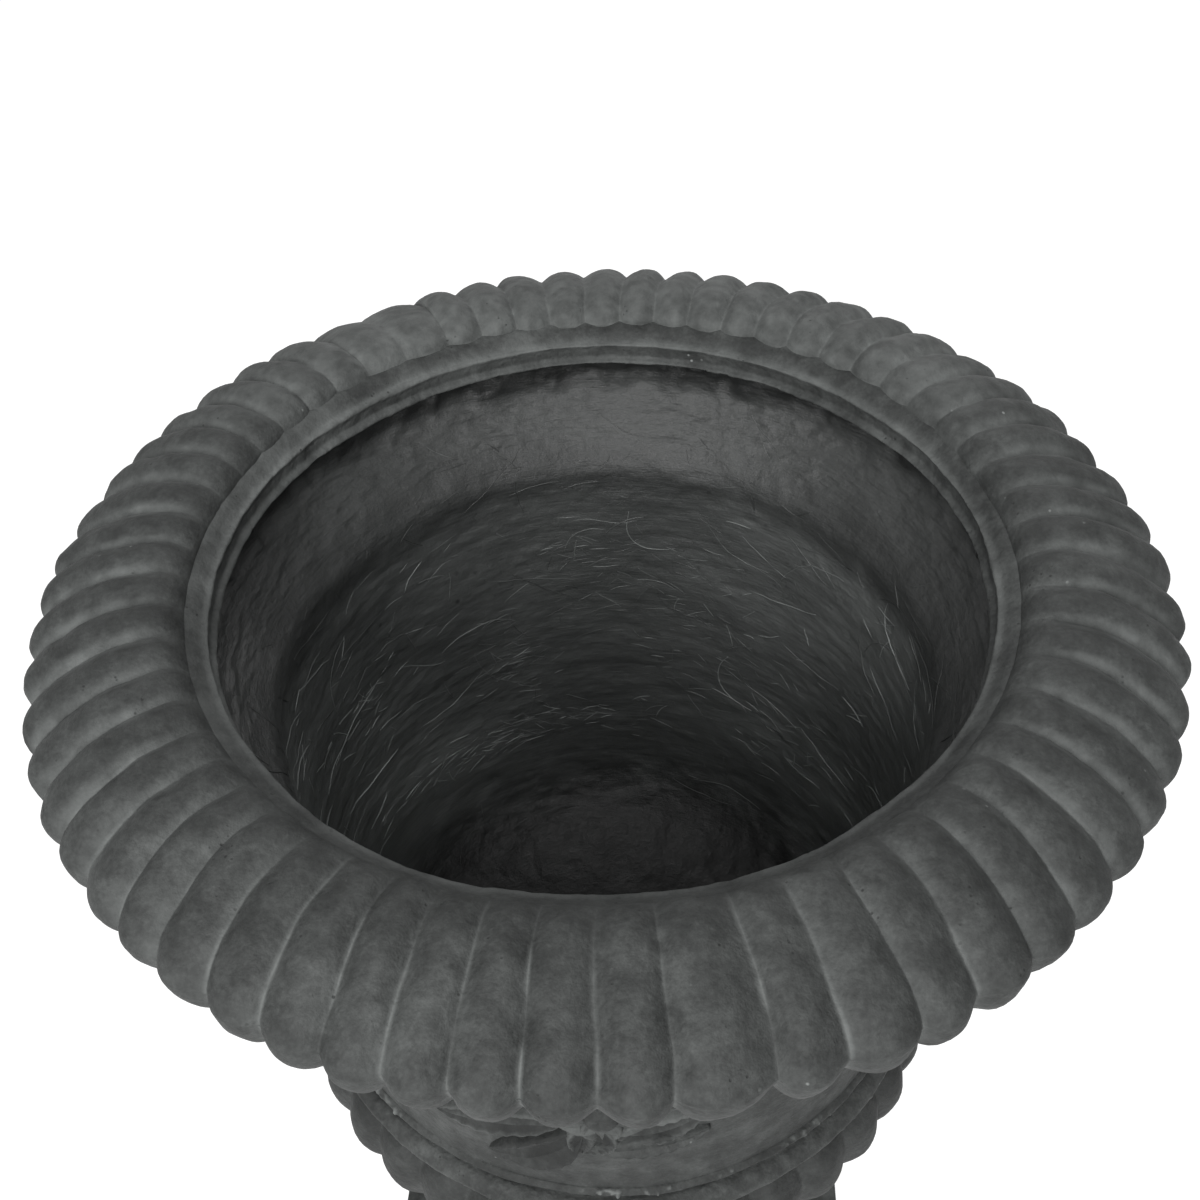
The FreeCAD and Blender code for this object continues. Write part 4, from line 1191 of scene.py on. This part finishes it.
def make_camera():
    heading = Matrix.Rotation(math.radians(CAMERA_HEADING), 4, "Z")
    tilt = Matrix.Rotation(math.radians(90.0 - CAMERA_PITCH), 4, "X")
    roll = Matrix.Rotation(math.radians(CAMERA_ROLL), 4, "Z")
    lens = bpy.data.cameras.new("camera")
    lens.lens = CAMERA_LENS
    lens.sensor_width = 36.0
    lens.sensor_fit = "HORIZONTAL"
    lens.shift_y = CAMERA_SHIFT_UP
    lens.clip_start = 0.01
    camera = bpy.data.objects.new("camera", lens)
    camera.matrix_world = Matrix.Translation(CAMERA_AT) @ heading @ tilt @ roll
    bpy.context.scene.collection.objects.link(camera)
    bpy.context.scene.camera = camera


# --- putting it together

def dress(piece, material, slot, *nodes):
    """Give a piece its finish and let it stand for its CAD nodes."""
    piece.data.materials.clear()
    piece.data.materials.append(material)
    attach(piece, "urn")
    if nodes:
        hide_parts(*nodes)


def refinish(node, material):
    """Better material on a CAD node that stays."""
    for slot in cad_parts[node].material_slots:
        slot.material = material


cast = cast_material()
band = make_moulding("band_round_frieze", "bead_moulding", BAND_FACE, 43, 0.0006, 0.2)
fillet = make_moulding("fillet_round_frieze", "fillet_moulding", FILLET_FACE, 47, 0.0017, 1.0)
for piece, *nodes in (
    (make_rim(), "rim"),
    (make_mouth_lip(), "mouth_lip"),
    (make_wall(), "frieze_wall", "cove_ring"),
    (band, "bead_moulding"),
    (fillet, "fillet_moulding"),
    (make_cup(), "gadroon_cup"),
    (make_stem_bead(), "stem_bead"),
    (make_stem(), "stem"),
    (make_foot(), "foot_ring"),
    (make_plinth(), "plinth"),
):
    dress(piece, cast, "cast_shell", *nodes)
for quarter, side in enumerate(("front", "right", "back", "left")):
    dress(make_spray(side, 90.0 * quarter), cast, "cast_shell", "spray_" + side)

lining, strands = make_lining()
dress(lining, lining_material("laid resin", 0.026, 0.044, 0.40, 0.56), "lining_laminate", "bowl_lining")
dress(strands, lining_material("resin fibres", 0.034, 0.050, 0.26, 0.40, 0.4), "lining_laminate")

refinish("bowl_floor", cast)
plastic = plain_material("moulded plastic", (0.050, 0.050, 0.052), 0.42)
refinish("drain_sleeve", plastic)
refinish("lock_nut", plastic)
refinish("sleeve_gasket", plain_material("soft rubber", (0.020, 0.020, 0.020), 0.75))
refinish("drain_plug", plain_material("plug rubber", (0.025, 0.025, 0.026), 0.68))
refinish("clamp_washer", plain_material("zinc plate", (0.50, 0.50, 0.50), 0.36, 1.0, 500.0, 0.0002))

make_floor()
make_world()
make_light("key", (-0.60, -2.35, 1.72), (0, 0, 0.55), 1.3, 62.0)
make_light("high front", (0.15, -1.5, 2.7), (0, 0, 0.55), 1.0, 16.0)
make_light("back", (0.45, 1.9, 2.0), (0, 0, 0.58), 1.5, 15.0)
make_camera()
bpy.context.scene.view_settings.view_transform = "Standard"
